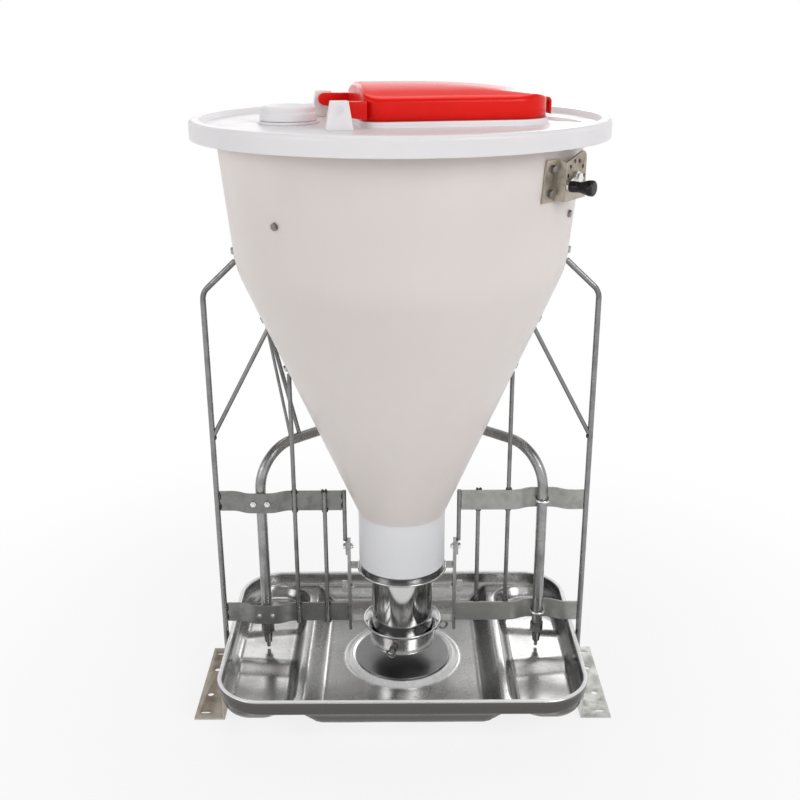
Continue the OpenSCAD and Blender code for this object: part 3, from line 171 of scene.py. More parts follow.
class Shader:
    """A node tree under construction, with one method that adds any node."""

    def __init__(self, tree: bpy.types.NodeTree) -> None:
        """Empties the tree and keeps it."""
        self.tree = tree
        tree.nodes.clear()

    def node(
        self,
        kind: str,
        settings: dict[str, object] | None = None,
        sockets: dict[int | str, object] | None = None,
        out: int | str = 0,
    ) -> Value:
        """Adds a node, its settings first.

        Args:
            kind: The node's type.
            settings: Properties of the node, with a grey ramp's stops as rows of place and tone.
            sockets: Values or links of its inputs, by name or number, with opaque colours.
            out: The output to return.

        Returns:
            The chosen output.
        """
        made = self.tree.nodes.new(kind)
        for name, value in (settings or {}).items():
            if name == "stops":
                self._set_stops(made.color_ramp, value)
            else:
                setattr(made, name, value)
        for name, value in (sockets or {}).items():
            socket = made.inputs[name]
            if isinstance(value, Value):
                self.tree.links.new(value.socket, socket)
            elif socket.type == "RGBA":
                socket.default_value = (*value, 1.0)
            else:
                socket.default_value = value
        return Value(self, made.outputs[out] if made.outputs else None)

    @staticmethod
    def _set_stops(ramp: bpy.types.ColorRamp, stops: Sequence[Row]) -> None:
        """Gives a grey ramp its stops.

        Args:
            ramp: The ramp.
            stops: The place and the tone of each stop.
        """
        while len(ramp.elements) < len(stops):
            ramp.elements.new(1.0)
        for element, (place, tone) in zip(ramp.elements, stops):
            element.position = place
            element.color = (tone, tone, tone, 1.0)

    def coords(self, stretch: Sequence[float] = (1.0, 1.0, 1.0)) -> Value:
        """Returns Object coordinates, stretched along each axis."""
        plain = self.node("ShaderNodeTexCoord", out="Object")
        return self.node("ShaderNodeMapping", {}, {"Vector": plain, "Scale": tuple(stretch)})

    def axis(self, name: str) -> Value:
        """Returns one of the Object coordinates, X, Y or Z."""
        return self.node("ShaderNodeSeparateXYZ", {}, {0: self.coords()}, name)

    def cloud(
        self, scale: float, detail: float, stretch: Sequence[float] = (1.0, 1.0, 1.0)
    ) -> Value:
        """Adds soft noise.

        Args:
            scale: How fine the noise is, in spots per metre.
            detail: How many finer layers it has.
            stretch: How much it is squeezed along each axis.

        Returns:
            The noise, round 0.5.
        """
        grid = {"Vector": self.coords(stretch), "Scale": scale, "Detail": detail}
        return self.node("ShaderNodeTexNoise", {}, {**grid, "Roughness": CLOUD_ROUGHNESS})

    def blend(self, mask: Operand, low: Colour | Value, high: Colour | Value) -> Value:
        """Returns a colour between low and high, by a mask from 0 to 1."""
        return self.node("ShaderNodeMix", {"data_type": "RGBA"}, {0: mask, 6: low, 7: high}, 2)

    def normal(self, name: str) -> Value:
        """Returns one part of the surface's normal, X, Y or Z, from -1 to 1."""
        whole = self.node("ShaderNodeTexCoord", out="Normal")
        return self.node("ShaderNodeSeparateXYZ", {}, {0: whole}, name)

    def lean(self) -> Value:
        """Returns how far the surface faces away from the upright axis, times its distance from it.

        Returns:
            The product, below 0 where the surface faces the axis.
        """
        normal = self.node("ShaderNodeTexCoord", out="Normal")
        away = self.coords((1.0, 1.0, 0.0))
        product = {"operation": "DOT_PRODUCT"}
        return self.node("ShaderNodeVectorMath", product, {0: away, 1: normal}, "Value")

    def edge_wear(self) -> Value:
        """Returns a mask of the rubbed outer edges."""
        return self.node("ShaderNodeNewGeometry", out="Pointiness").span(*EDGE_WEAR)

    def surface(
        self,
        colour: Value,
        roughness: Value,
        relief: Value,
        relief_depth: float,
        constants: dict[str, object],
    ) -> None:
        """Closes the tree with one surface.

        Args:
            colour: Base colour over the surface.
            roughness: Roughness over the surface.
            relief: Height of the surface's fine relief, round 0.5.
            relief_depth: Depth of that relief.
            constants: Other sockets' values, by name.
        """
        bump = {"Strength": 1.0, "Distance": relief_depth, "Height": relief}
        normal = self.node("ShaderNodeBump", {}, bump)
        sockets = {"Base Color": colour, "Roughness": roughness, "Normal": normal, **constants}
        shell = self.node("ShaderNodeBsdfPrincipled", {}, sockets)
        self.node("ShaderNodeOutputMaterial", {}, {"Surface": shell})


@dataclass(frozen=True)
class Finish:
    """What all finishes share: a name, the record's slot, two colours and a roughness."""

    name: str
    slot: str
    colour: Colour
    mottle: Colour
    roughness: float

    def material(self) -> bpy.types.Material:
        """Finds this finish's material, or makes it on its first use.

        Returns:
            The material.
        """
        known = bpy.data.materials.get(self.name)
        if known is not None:
            return known
        made = bpy.data.materials.new(self.name)
        made.use_nodes = True
        self.dress(Shader(made.node_tree))
        return made

    def dress(self, shader: Shader) -> None:
        """Fills the shader; each kind of finish has its own way."""
        raise NotImplementedError


@dataclass(frozen=True)
class MouldedPlastic(Finish):
    """Moulded plastic with a soft grain, faint clouding and rubbed patches."""

    cloud_scale: float = 7.0
    cloud_span: Row = (0.35, 0.68)
    cloud_stretch: Triple = (1.0, 1.0, 1.0)
    rub_scale: float = 22.0
    rub_span: Row = (0.45, 0.75)
    rub_stretch: Triple = (1.0, 1.0, 0.35)
    gloss_spread: float = 0.12
    grain: float = 700.0
    grain_depth: float = 0.00008
    swell_scale: float = 14.0
    swell_depth: float = 0.0
    specular: float = 0.5
    coat_roughness: float = 0.06
    subsurface: float = 0.0
    scatter: Triple = (1.0, 0.8, 0.7)
    scatter_scale: float = 0.02

    def tint(self, shader: Shader) -> Value:
        """Returns the plastic's colour, clouded."""
        clouds = shader.cloud(self.cloud_scale, detail=4.0, stretch=self.cloud_stretch)
        return shader.blend(clouds.span(*self.cloud_span), self.colour, self.mottle)

    def coat(self, shader: Shader) -> Operand:
        """Returns the weight of the clear coat."""
        return 0.0

    def dress(self, shader: Shader) -> None:
        """Fills the shader with a clouded, grained plastic.

        Args:
            shader: The tree under construction.
        """
        rub_and_highlight = shader.cloud(self.rub_scale, detail=5.0, stretch=self.rub_stretch)
        grain = shader.cloud(self.grain, detail=2.0)
        swell = shader.cloud(self.swell_scale, detail=1.0)
        relief = grain * self.grain_depth + swell * self.swell_depth
        shader.surface(
            self.tint(shader),
            rub_and_highlight.span(*self.rub_span) * self.gloss_spread + self.roughness,
            relief,
            1.0,
            {
                "Specular IOR Level": self.specular,
                "Coat Weight": self.coat(shader),
                "Coat Roughness": self.coat_roughness,
                "Subsurface Weight": self.subsurface,
                "Subsurface Radius": self.scatter,
                "Subsurface Scale": self.scatter_scale,
            },
        )


@dataclass(frozen=True)
class HopperPlastic(MouldedPlastic):
    """Translucent hopper wall: warm where feed dust backs it, cooler in the neck."""

    neck_colour: Colour = (0.78, 0.775, 0.79)
    neck_z: Row = (0.316, 0.338)

    def tint(self, shader: Shader) -> Value:
        """Returns the wall's colour, warm above the neck."""
        wall = super().tint(shader)
        return shader.blend(shader.axis("Z").span(*self.neck_z), self.neck_colour, wall)


@dataclass(frozen=True)
class CoverPlastic(MouldedPlastic):
    """Plastic with a clear coat and a lighter red painted on its upper face as painted light from
    above, over plainer sides.
    """

    # Lighter red on upward faces: painted light from above.
    lit_top_colour: Colour = (0.95, 0.030, 0.020)
    top_rise: Row = (0.55, 0.92)
    top_coat: float = 0.28

    def tint(self, shader: Shader) -> Value:
        """Returns the plastic's colour, with a lighter red on the upper face as painted light."""
        rise = shader.normal("Z").span(*self.top_rise)
        return shader.blend(rise, super().tint(shader), self.lit_top_colour)

    def coat(self, shader: Shader) -> Operand:
        """Returns a coat that lies on the upper face alone."""
        return shader.normal("Z").span(*self.top_rise) * self.top_coat


@dataclass(frozen=True)
class GalvanisedSteel(Finish):
    """Zinc on steel: small crystals, dull stains and brighter rubbed edges."""

    crystal: float = 260.0
    spangle_share: float = 0.25
    spangle_gloss: float = 0.10
    stain_scale: float = 38.0
    stain_span: Row = (0.42, 0.72)
    stain_gloss: float = 0.14
    pit_scale: float = 900.0
    pit_depth: float = 0.00012
    wear: float = 0.5
    bright: Colour = (0.80, 0.81, 0.82)
    metallic: float = 1.0

    def dress(self, shader: Shader) -> None:
        """Fills the shader with a spangled, stained zinc.

        Args:
            shader: The tree under construction.
        """
        grid = {"Vector": shader.coords(), "Scale": self.crystal}
        cells = shader.node("ShaderNodeTexVoronoi", {}, grid, "Color")
        spangle = shader.node("ShaderNodeSeparateColor", {}, {0: cells})
        stain = shader.cloud(self.stain_scale, detail=5.0).span(*self.stain_span)
        mottle = spangle * self.spangle_share + stain * (1.0 - self.spangle_share)
        zinc = shader.blend(mottle, self.colour, self.mottle)
        shader.surface(
            shader.blend(shader.edge_wear() * self.wear, zinc, self.bright),
            spangle * self.spangle_gloss + stain * self.stain_gloss + self.roughness,
            shader.cloud(self.pit_scale, detail=3.0),
            self.pit_depth,
            {"Metallic": self.metallic},
        )


@dataclass(frozen=True)
class StainlessSteel(Finish):
    """Stainless sheet or bar with a grain along one axis, smears and fine scratches."""

    grain: float = 30.0
    grain_stretch: Triple = (1.0, 60.0, 60.0)
    grain_span: Row = (0.3, 0.7)
    grain_gloss: float = 0.06
    grain_depth: float = 0.00002
    smear_scale: float = 16.0
    smear_span: Row = (0.4, 0.75)
    smear: float = 0.08
    spot_scale: float = 120.0
    spot_span: Row = (0.62, 0.72)
    spot_gloss: float = 0.05

    def tone(self, shader: Shader, steel: Value) -> Value:
        """Returns the steel's colour, unchanged here; the pressed sheet adds painted light to it.
        """
        return steel

    def metal(self, shader: Shader) -> Operand:
        """Returns how metallic the surface is."""
        return 1.0

    def dress(self, shader: Shader) -> None:
        """Fills the shader with a drawn, smeared steel.

        Args:
            shader: The tree under construction.
        """
        grain = shader.cloud(self.grain, detail=4.0, stretch=self.grain_stretch)
        smears = shader.cloud(self.smear_scale, detail=5.0).span(*self.smear_span)
        spots = shader.cloud(self.spot_scale, detail=2.0).span(*self.spot_span)
        mottle = grain.span(*self.grain_span) * 0.5 + smears * 0.5
        steel = shader.blend(mottle, self.colour, self.mottle)
        shader.surface(
            self.tone(shader, steel),
            smears * self.smear
            + grain * self.grain_gloss
            + spots * self.spot_gloss
            + self.roughness,
            grain,
            self.grain_depth,
            {"Metallic": self.metal(shader)},
        )


@dataclass(frozen=True)
class PressedSheet(StainlessSteel):
    """Deep-pressed sheet: bright on flats and darker on its slopes as painted reflection and shade,
    with painted shade outside its wall and a pale painted highlight on its rim and boss.
    """

    # Painted reflection and shade: how much the steel is darkened, by the x part of the surface's
    # normal.
    painted_reflection_bands: tuple[Row, ...] = (
        (-1.0, 0.34),
        (-0.75, 0.22),
        (-0.40, 0.24),
        (-0.20, 0.86),
        (0.0, 1.0),
        (0.25, 1.0),
        (0.65, 0.62),
        (1.0, 0.80),
    )
    # Painted shade on the upright outer faces of the wall.
    wall_lean: Row = (0.05, 0.10)
    wall_rise: Row = (0.15, 0.50)
    wall_shade_tone: Colour = (0.108, 0.105, 0.101)
    # Painted highlight on the rim's crest and the boss's upward flank, where the steel is also less
    # metallic.
    rim_z: Row = (0.0948, 0.0962)
    boss_in: Row = (0.0835, 0.0865)
    boss_out: Row = (0.0940, 0.1040)
    boss_share: float = 0.9
    highlight_tone: Colour = (0.93, 0.93, 0.94)
    highlight_metal: float = 0.15
    flank_rise: Row = (0.0, 0.2)

    def rub_and_highlight(self, shader: Shader) -> Value:
        """Returns a mask of the painted highlight that makes the rim and boss pale.

        Args:
            shader: The tree under construction.

        Returns:
            The mask: 1 on the rim's crest, and a share of it on the boss's flank.
        """
        x, y = shader.axis("X"), shader.axis("Y")
        reach = x * x + y * y
        start = [r * r for r in self.boss_in]
        end = [r * r for r in self.boss_out]
        flank = reach.span(*start) * reach.span(*end, 1.0, 0.0) * self.boss_share
        crest = shader.axis("Z").span(*self.rim_z)
        return crest + flank * shader.normal("Z").span(*self.flank_rise)

    def metal(self, shader: Shader) -> Operand:
        """Returns a metal that is less metallic under the painted highlight."""
        return 1.0 - self.rub_and_highlight(shader) * (1.0 - self.highlight_metal)

    def tone(self, shader: Shader, steel: Value) -> Value:
        """Returns the steel's colour with painted reflection bands, painted shade outside the wall
        and a pale painted highlight on the rim and boss.

        Args:
            shader: The tree under construction.
            steel: The plain steel's colour.

        Returns:
            The colour of the pressed sheet.
        """
        # Painted reflection bands: darker where the surface faces either side.
        stops = [(0.5 + side / 2.0, dull) for side, dull in self.painted_reflection_bands]
        share = shader.normal("X") * 0.5 + 0.5
        band_shade = shader.node("ShaderNodeValToRGB", {"stops": stops}, {0: share})
        times = {"data_type": "RGBA", "blend_type": "MULTIPLY"}
        inside = shader.node("ShaderNodeMix", times, {0: 1.0, 6: steel, 7: band_shade}, 2)
        # Painted shade on the wall's outer side.
        upright = shader.normal("Z").span(*self.wall_rise, 1.0, 0.0)
        outer = shader.lean().span(*self.wall_lean) * upright
        sheet = shader.blend(outer, inside, self.wall_shade_tone)
        # Painted highlight, pale on the rim and boss.
        return shader.blend(self.rub_and_highlight(shader), sheet, self.highlight_tone)


@dataclass(frozen=True)
class WeldSteel(Finish):
    """Weld metal: rippled, dull and heat-tinted."""

    burn_scale: float = 140.0
    burn_span: Row = (0.35, 0.7)
    burn_gloss: float = 0.25
    ripple_scale: float = 700.0
    ripple_depth: float = 0.0004
    metallic: float = 0.8

    def dress(self, shader: Shader) -> None:
        """Fills the shader with a rough, tinted bead.

        Args:
            shader: The tree under construction.
        """
        burn = shader.cloud(self.burn_scale, detail=4.0).span(*self.burn_span)
        shader.surface(
            shader.blend(burn, self.colour, self.mottle),
            burn * self.burn_gloss + self.roughness,
            shader.cloud(self.ripple_scale, detail=3.0),
            self.ripple_depth,
            {"Metallic": self.metallic},
        )


HOPPER_WALL = HopperPlastic(
    "hopper_wall",
    "hopper_plastic",
    (0.80, 0.725, 0.695),
    (0.76, 0.685, 0.655),
    0.38,
    cloud_scale=5.0,
    cloud_span=(0.3, 0.7),
    cloud_stretch=(1.0, 1.0, 0.5),
    subsurface=0.25,
)
LID_WHITE = MouldedPlastic(
    "lid_white", "lid_plastic", (0.81, 0.785, 0.80), (0.77, 0.75, 0.765), 0.34, subsurface=0.15
)
HATCH_RED = CoverPlastic(
    "hatch_red",
    "hatch_plastic",
    (0.74, 0.010, 0.006),
    (0.66, 0.008, 0.005),
    0.20,
    gloss_spread=0.08,
    grain_depth=0.00001,
    swell_depth=0.0009,
    specular=0.15,
)
GRIP_BLACK = MouldedPlastic(
    "grip_black",
    "grip_plastic",
    (0.004, 0.004, 0.004),
    (0.008, 0.008, 0.008),
    0.22,
    grain_depth=0.0001,
    specular=0.3,
)
GALVANISED = GalvanisedSteel(
    "galvanised", "galvanised_steel", (0.25, 0.255, 0.25), (0.16, 0.162, 0.16), 0.22
)
PIPE_ZINC = GalvanisedSteel(
    "pipe_zinc", "galvanised_steel", (0.36, 0.365, 0.36), (0.23, 0.233, 0.23), 0.24
)
STRIP_ZINC = GalvanisedSteel(
    "strip_zinc",
    "galvanised_steel",
    (0.38, 0.38, 0.36),
    (0.30, 0.30, 0.285),
    0.34,
    crystal=190.0,
    metallic=0.7,
)
# A darker copy of the strip zinc for the left strips: painted shade.
STRIP_SHADED = GalvanisedSteel(
    "strip_shaded",
    "galvanised_steel",
    (0.24, 0.242, 0.23),
    (0.15, 0.152, 0.145),
    0.32,
    crystal=190.0,
    metallic=0.7,
)
PLATED_WARM = GalvanisedSteel(
    "plated_warm",
    "plated_sheet",
    (0.32, 0.262, 0.20),
    (0.19, 0.155, 0.115),
    0.36,
    crystal=150.0,
    bright=(0.72, 0.68, 0.62),
    metallic=0.7,
)
BRACKET_ZINC = GalvanisedSteel(
    "bracket_zinc",
    "plated_sheet",
    (0.36, 0.30, 0.235),
    (0.10, 0.082, 0.06),
    0.28,
    crystal=420.0,
    bright=(0.62, 0.56, 0.48),
    metallic=0.85,
)
PLATED_PALE = GalvanisedSteel(
    "plated_pale", "galvanised_steel", (0.52, 0.52, 0.49), (0.38, 0.38, 0.355), 0.30, crystal=150.0
)
DARK_BOLT = GalvanisedSteel(
    "bolt_dark", "fastener_steel", (0.20, 0.18, 0.165), (0.07, 0.06, 0.055), 0.22, crystal=500.0
)
BRIGHT_NUT = GalvanisedSteel(
    "nut_bright", "fastener_steel", (0.86, 0.86, 0.85), (0.62, 0.62, 0.60), 0.12, crystal=500.0
)
DARK_FITTING = GalvanisedSteel(
    "fitting_dark", "fastener_steel", (0.26, 0.26, 0.26), (0.10, 0.10, 0.10), 0.16, crystal=500.0
)
FASTENER = GalvanisedSteel(
    "fastener_zinc", "fastener_steel", (0.50, 0.50, 0.49), (0.30, 0.295, 0.28), 0.26, crystal=500.0
)
POLISHED = StainlessSteel(
    "polished_tube",
    "polished_stainless",
    (0.62, 0.62, 0.62),
    (0.56, 0.56, 0.56),
    0.06,
    grain_stretch=(30.0, 30.0, 1.0),
    grain_depth=0.000004,
    smear=0.06,
)
PRESSED = PressedSheet(
    "pressed_sheet",
    "pressed_stainless",
    (0.64, 0.64, 0.64),
    (0.47, 0.455, 0.435),
    0.20,
    smear=0.10,
)
DISC_STEEL = StainlessSteel(
    "disc_steel", "polished_stainless", (0.42, 0.42, 0.42), (0.32, 0.32, 0.32), 0.26, smear=0.12
)
WELD = WeldSteel("weld_bead", "galvanised_steel", (0.11, 0.10, 0.095), (0.03, 0.027, 0.025), 0.46)


def round_corners(
    rows: Sequence[Row], radii: Sequence[float], closed: bool, steps: int
) -> list[Vector]:
    """Rounds the corners of a line in the XY plane.

    Args:
        rows: The corners, in order.
        radii: The radius at each corner, with 0 for a sharp one.
        closed: Whether the last point joins the first.
        steps: Number of chords on each rounded corner.

    Returns:
        The points of the rounded line.
    """
    points = [Vector((x, y, 0.0)) for x, y in rows]
    count = len(points)
    line: list[Vector] = []
    for i, corner in enumerate(points):
        radius = radii[i]
        at_end = not closed and i in (0, count - 1)
        if at_end or radius <= 0.0:
            line.append(corner.copy())
            continue
        back = (points[i - 1] - corner).normalized()
        ahead = (points[(i + 1) % count] - corner).normalized()
        half = back.angle(ahead) / 2.0
        centre = corner + (back + ahead).normalized() * (radius / math.sin(half))
        first = corner + back * (radius / math.tan(half)) - centre
        last = corner + ahead * (radius / math.tan(half)) - centre
        sweep = first.angle(last)
        for k in range(steps + 1):
            part = sweep * k / steps
            point = first * math.sin(sweep - part) + last * math.sin(part)
            line.append(centre + point / math.sin(sweep))
    return line


def soft_max(a: float, b: float, ease: float) -> float:
    """Returns the larger of two heights, with the crease between them eased over a width."""
    mix = min(max(0.5 + 0.5 * (a - b) / ease, 0.0), 1.0)
    return b + (a - b) * mix + ease * mix * (1.0 - mix)


def soft_min(a: float, b: float, ease: float) -> float:
    """Returns the smaller of two heights, with the crease between them eased over a width."""
    return -soft_max(-a, -b, ease)


def smooth_step(low: float, high: float, value: float) -> float:
    """Returns 0 below low, 1 above high and an eased value between."""
    t = min(max((value - low) / (high - low), 0.0), 1.0)
    return t * t * (3.0 - 2.0 * t)


def tube_rows(inner: float, outer: float, low: float, high: float) -> list[Row]:
    """Returns the four corners of a tube's wall, as radius and height."""
    return [(inner, low), (outer, low), (outer, high), (inner, high)]


def raised(height: float) -> Matrix:
    """Returns the move that lifts a shape by a height."""
    return Matrix.Translation((0.0, 0.0, height))


def facing(azimuth: float) -> Matrix:
    """Returns the turn that takes +X to an azimuth, in degrees from the front towards +X."""
    return Matrix.Rotation(math.radians(azimuth - 90.0), 4, "Z")


class Workpiece:
    """A mesh under construction, made of shapes that are closed one by one."""

    def __init__(self) -> None:
        """Starts with an empty mesh."""
        self.bm = bmesh.new()

    def join(
        self, shape: bmesh.types.BMesh, place: Matrix = UPRIGHT, turn_out: bool = True
    ) -> None:
        """Closes a shape's seams, places it and adds it.

        Args:
            shape: The shape, which is used up.
            place: Where it goes.
            turn_out: Whether its faces are turned outwards.
        """
        bmesh.ops.remove_doubles(shape, verts=shape.verts, dist=WELD_DIST)
        bmesh.ops.transform(shape, matrix=place, verts=shape.verts)
        if turn_out:
            bmesh.ops.recalc_face_normals(shape, faces=shape.faces)
        mesh = bpy.data.meshes.new("shape")
        shape.to_mesh(mesh)
        shape.free()
        self.bm.from_mesh(mesh)
        bpy.data.meshes.remove(mesh)

    @staticmethod
    def soften(shape: bmesh.types.BMesh, width: float, segments: int = 3) -> None:
        """Rounds the sharp edges of a closed shape.

        Args:
            shape: The shape.
            width: Width of the rounding.
            segments: Number of faces across it.
        """
        edges = [e for e in shape.edges if e.is_manifold and e.calc_face_angle() > SHARP_ANGLE]
        bmesh.ops.bevel(
            shape,
            geom=edges,
            offset=width,
            offset_type="OFFSET",
            segments=segments,
            profile=0.5,
            affect="EDGES",
            clamp_overlap=True,
            material=-1,
        )

    def lathe(self, profile: Sequence[Vector], closed: bool, place: Matrix, steps: int) -> None:
        """Spins a profile in the XZ plane about Z.

        Args:
            profile: The points of the profile.
            closed: Whether the profile is a loop.
            place: Where the spun shape goes.
            steps: Number of faces round the axis.
        """
        shape = bmesh.new()
        verts = [shape.verts.new(p) for p in profile]
        edges = [shape.edges.new(pair) for pair in zip(verts, verts[1:])]
        if closed:
            edges.append(shape.edges.new((verts[-1], verts[0])))
        bmesh.ops.spin(
            shape,
            geom=verts + edges,
            cent=(0.0, 0.0, 0.0),
            axis=(0.0, 0.0, 1.0),
            angle=FULL_TURN,
            steps=steps,
            use_merge=True,
        )
        self.join(shape, place)

    def turned(
        self,
        rows: Sequence[Row],
        radii: Sequence[float],
        closed: bool = True,
        place: Matrix = UPRIGHT,
        steps: int = 160,
        chords: int = 4,
    ) -> None:
        """Spins an outline with rounded corners about Z.

        Args:
            rows: Radius and height of each corner.
            radii: The radius at each corner, with 0 for a sharp one.
            closed: Whether the outline is a loop.
            place: Where the turned shape goes.
            steps: Number of faces round the axis.
            chords: Number of chords on each rounded corner.
        """
        line = round_corners(rows, radii, closed, chords)
        self.lathe([Vector((p.x, 0.0, p.y)) for p in line], closed, place, steps)

    def bar(
        self, radius: float, length: float, sides: int, place: Matrix, edge: float = 0.0
    ) -> None:
        """Adds a straight bar from z = 0 up, with closed ends.

        Args:
            radius: The bar's radius, at its corners.
            length: The bar's length.
            sides: Number of faces round it, 6 for a hexagon.
            place: Where the bar goes.
            edge: Width of the rounding on its edges, or 0 for none.
        """
        shape = bmesh.new()
        bmesh.ops.create_cone(
            shape,
            cap_ends=True,
            segments=sides,
            radius1=radius,
            radius2=radius,
            depth=length,
            matrix=raised(length / 2.0),
        )
        if edge > 0.0:
            self.soften(shape, edge)
        self.join(shape, place)

    def plate(self, points: Sequence[Vector], thickness: float, edge: float, place: Matrix) -> None:
        """Raises a flat outline in the XY plane along Z and rounds its edges.

        Args:
            points: The outline.
            thickness: How far it is raised.
            edge: Width of the rounding on its edges.
            place: Where the plate goes.
        """
        shape = bmesh.new()
        face = shape.faces.new([shape.verts.new(p) for p in points])
        made = bmesh.ops.extrude_face_region(shape, geom=[face])["geom"]
        top = [g for g in made if isinstance(g, bmesh.types.BMVert)]
        bmesh.ops.translate(shape, vec=(0.0, 0.0, thickness), verts=top)
        bmesh.ops.holes_fill(shape, edges=[e for e in shape.edges if e.is_boundary])
        bmesh.ops.recalc_face_normals(shape, faces=shape.faces)
        self.soften(shape, edge)
        self.join(shape, place)

    def ring(
        self, radius: float, wire: float, place: Matrix, steps: int = 160, sides: int = 16
    ) -> None:
        """Adds a ring of round wire about Z.

        Args:
            radius: Radius of the wire's middle line.
            wire: The wire's own radius.
            place: Where the ring goes.
            steps: Number of faces round the ring.
            sides: Number of faces round the wire.
        """
        turns = [FULL_TURN * i / sides for i in range(sides)]
        circle = [
            Vector((radius + wire * math.cos(turn), 0.0, wire * math.sin(turn))) for turn in turns
        ]
        self.lathe(circle, True, place, steps)

    def bead(self, size: Sequence[float], place: Matrix, seed: float) -> None:
        """Adds a lumpy weld bead.

        Args:
            size: Half its length, width and height.
            place: Where its middle goes.
            seed: A number that makes its lumps its own.
        """
        shape = bmesh.new()
        bmesh.ops.create_icosphere(shape, subdivisions=3, radius=1.0)
        for vert in shape.verts:
            lump = noise.noise(vert.co * BEAD_LUMPS + Vector((seed, 2.0 * seed, 0.0)))
            vert.co *= 1.0 + BEAD_SWELL * lump
        bmesh.ops.scale(shape, vec=Vector(size), verts=shape.verts)
        self.join(shape, place)

    def ribbon(
        self, line: Sequence[Vector], thickness: float, height: float, edge: float, place: Matrix
    ) -> None:
        """Raises a strip of even thickness along a line in the XY plane.

        Args:
            line: The strip's middle line.
            thickness: The strip's thickness.
            height: The strip's height.
            edge: Width of the rounding on its edges.
            place: Where the strip goes.
        """
        near: list[Vector] = []
        far: list[Vector] = []
        for i, point in enumerate(line):
            way = line[min(i + 1, len(line) - 1)] - line[max(i - 1, 0)]
            out = Vector((-way.y, way.x, 0.0)).normalized() * (thickness / 2.0)
            near.append(point - out)
            far.append(point + out)
        self.plate(near + far[::-1], height, edge, place)

    def sheet(
        self,
        across: int,
        along: int,
        surface: Callable[[float, float], Vector],
        place: Matrix = UPRIGHT,
        rows: Sequence[Row] = (),
        hub: Callable[[Vector], tuple[Vector, Vector, float]] | None = None,
    ) -> None:
        """Lays a grid over a surface, and raises rows of wall from its edge.

        Args:
            across: Number of cells one way.
            along: Number of cells the other way.
            surface: Gives a point of the surface for shares from 0 to 1.
            place: Where the sheet goes.
            rows: Offset and height of each row of wall.
            hub: Gives an edge point's centre, its way out and the edge's distance from that centre.
        """
        shape = bmesh.new()
        bmesh.ops.create_grid(shape, x_segments=across, y_segments=along, size=1.0)
        for vert in shape.verts:
            vert.co = surface(vert.co.x / 2.0 + 0.5, vert.co.y / 2.0 + 0.5)
        bmesh.ops.remove_doubles(shape, verts=shape.verts, dist=WELD_DIST)
        loop = [e for e in shape.edges if e.is_boundary]
        for offset, height in rows:
            made = bmesh.ops.extrude_edge_only(shape, edges=loop)["geom"]
            loop = [g for g in made if isinstance(g, bmesh.types.BMEdge)]
            for vert in (g for g in made if isinstance(g, bmesh.types.BMVert)):
                centre, way, reach = hub(vert.co)
                vert.co = centre + way * (reach + offset) + Vector((0.0, 0.0, height))
        bmesh.ops.recalc_face_normals(shape, faces=shape.faces)
        if sum(face.normal.z * face.calc_area() for face in shape.faces) < 0.0:
            bmesh.ops.reverse_faces(shape, faces=shape.faces)
        self.join(shape, place, turn_out=False)

    def copy_node(self, node: bpy.types.Object, edge: float) -> None:
        """Adds a CAD node's shape, welded, with its flat faces cleared and its sharp edges rounded.

        Args:
            node: The CAD node's object, which is left as it is.
            edge: Width of the rounding on its edges.
        """
        shape = bmesh.new()
        shape.from_mesh(node.data)
        bmesh.ops.remove_doubles(shape, verts=shape.verts, dist=WELD_DIST)
        bmesh.ops.dissolve_limit(
            shape, angle_limit=FLAT_ANGLE, verts=shape.verts, edges=shape.edges, delimit={"NORMAL"}
        )
        self.soften(shape, edge, segments=2)
        self.join(shape, turn_out=False)

    def piece(
        self,
        name: str,
        finish: Finish,
        body: Body,
        stands_for: Sequence[str] = (),
        crease: float = 40.0,
    ) -> bpy.types.Object:
        """Turns the mesh into a finished piece on its body.

        Args:
            name: The piece's name.
            finish: Its finish.
            body: The body that it rides on.
            stands_for: The CAD nodes that it replaces.
            crease: Edges that turn by more degrees than this stay sharp.

        Returns:
            The piece.
        """
        limit = math.radians(crease)
        for face in self.bm.faces:
            face.smooth = True
        for edge in self.bm.edges:
            edge.smooth = not (edge.is_manifold and edge.calc_face_angle() > limit)
        mesh = bpy.data.meshes.new(name)
        self.bm.to_mesh(mesh)
        self.bm.free()
        mesh.materials.append(finish.material())
        made = bpy.data.objects.new(name, mesh)
        bpy.context.scene.collection.objects.link(made)
        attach(made, body.value)
        if stands_for:
            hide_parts(*stands_for)
        LOG.info("%s: %d faces on %s", name, len(mesh.polygons), body.value)
        return made


def even_normals(piece: bpy.types.Object) -> None:
    """Keeps a piece's flat faces flat beside its rounded edges."""
    weighted = piece.modifiers.new("even_normals", "WEIGHTED_NORMAL")
    weighted.keep_sharp = True


def thicken(piece: bpy.types.Object, thickness: float, even: bool) -> None:
    """Gives a drawn face its wall, on the inner side.

    Args:
        piece: The piece, drawn as one face.
        thickness: The wall's thickness.
        even: Whether the wall keeps its thickness round sharp bends.
    """
    wall = piece.modifiers.new("wall", "SOLIDIFY")
    wall.thickness = thickness
    wall.offset = -1.0
    wall.use_even_offset = even


@dataclass
class Shop:
    """Takes CAD nodes whose shape is right and gives each one eased edges and a finish."""

    nodes: dict[str, bpy.types.Object]

    def dress(
        self, names: Sequence[str], finish: Finish, body: Body, edge: float = SHEET_EDGE
    ) -> None:
        """Replaces nodes by copies with eased edges.

        Args:
            names: The nodes.
            finish: Their finish.
            body: Their body.
            edge: Width of the rounding on their edges.
        """
        for name in names:
            work = Workpiece()
            work.copy_node(self.nodes[name], edge)
            even_normals(work.piece(f"{name}_dressed", finish, body, [name]))


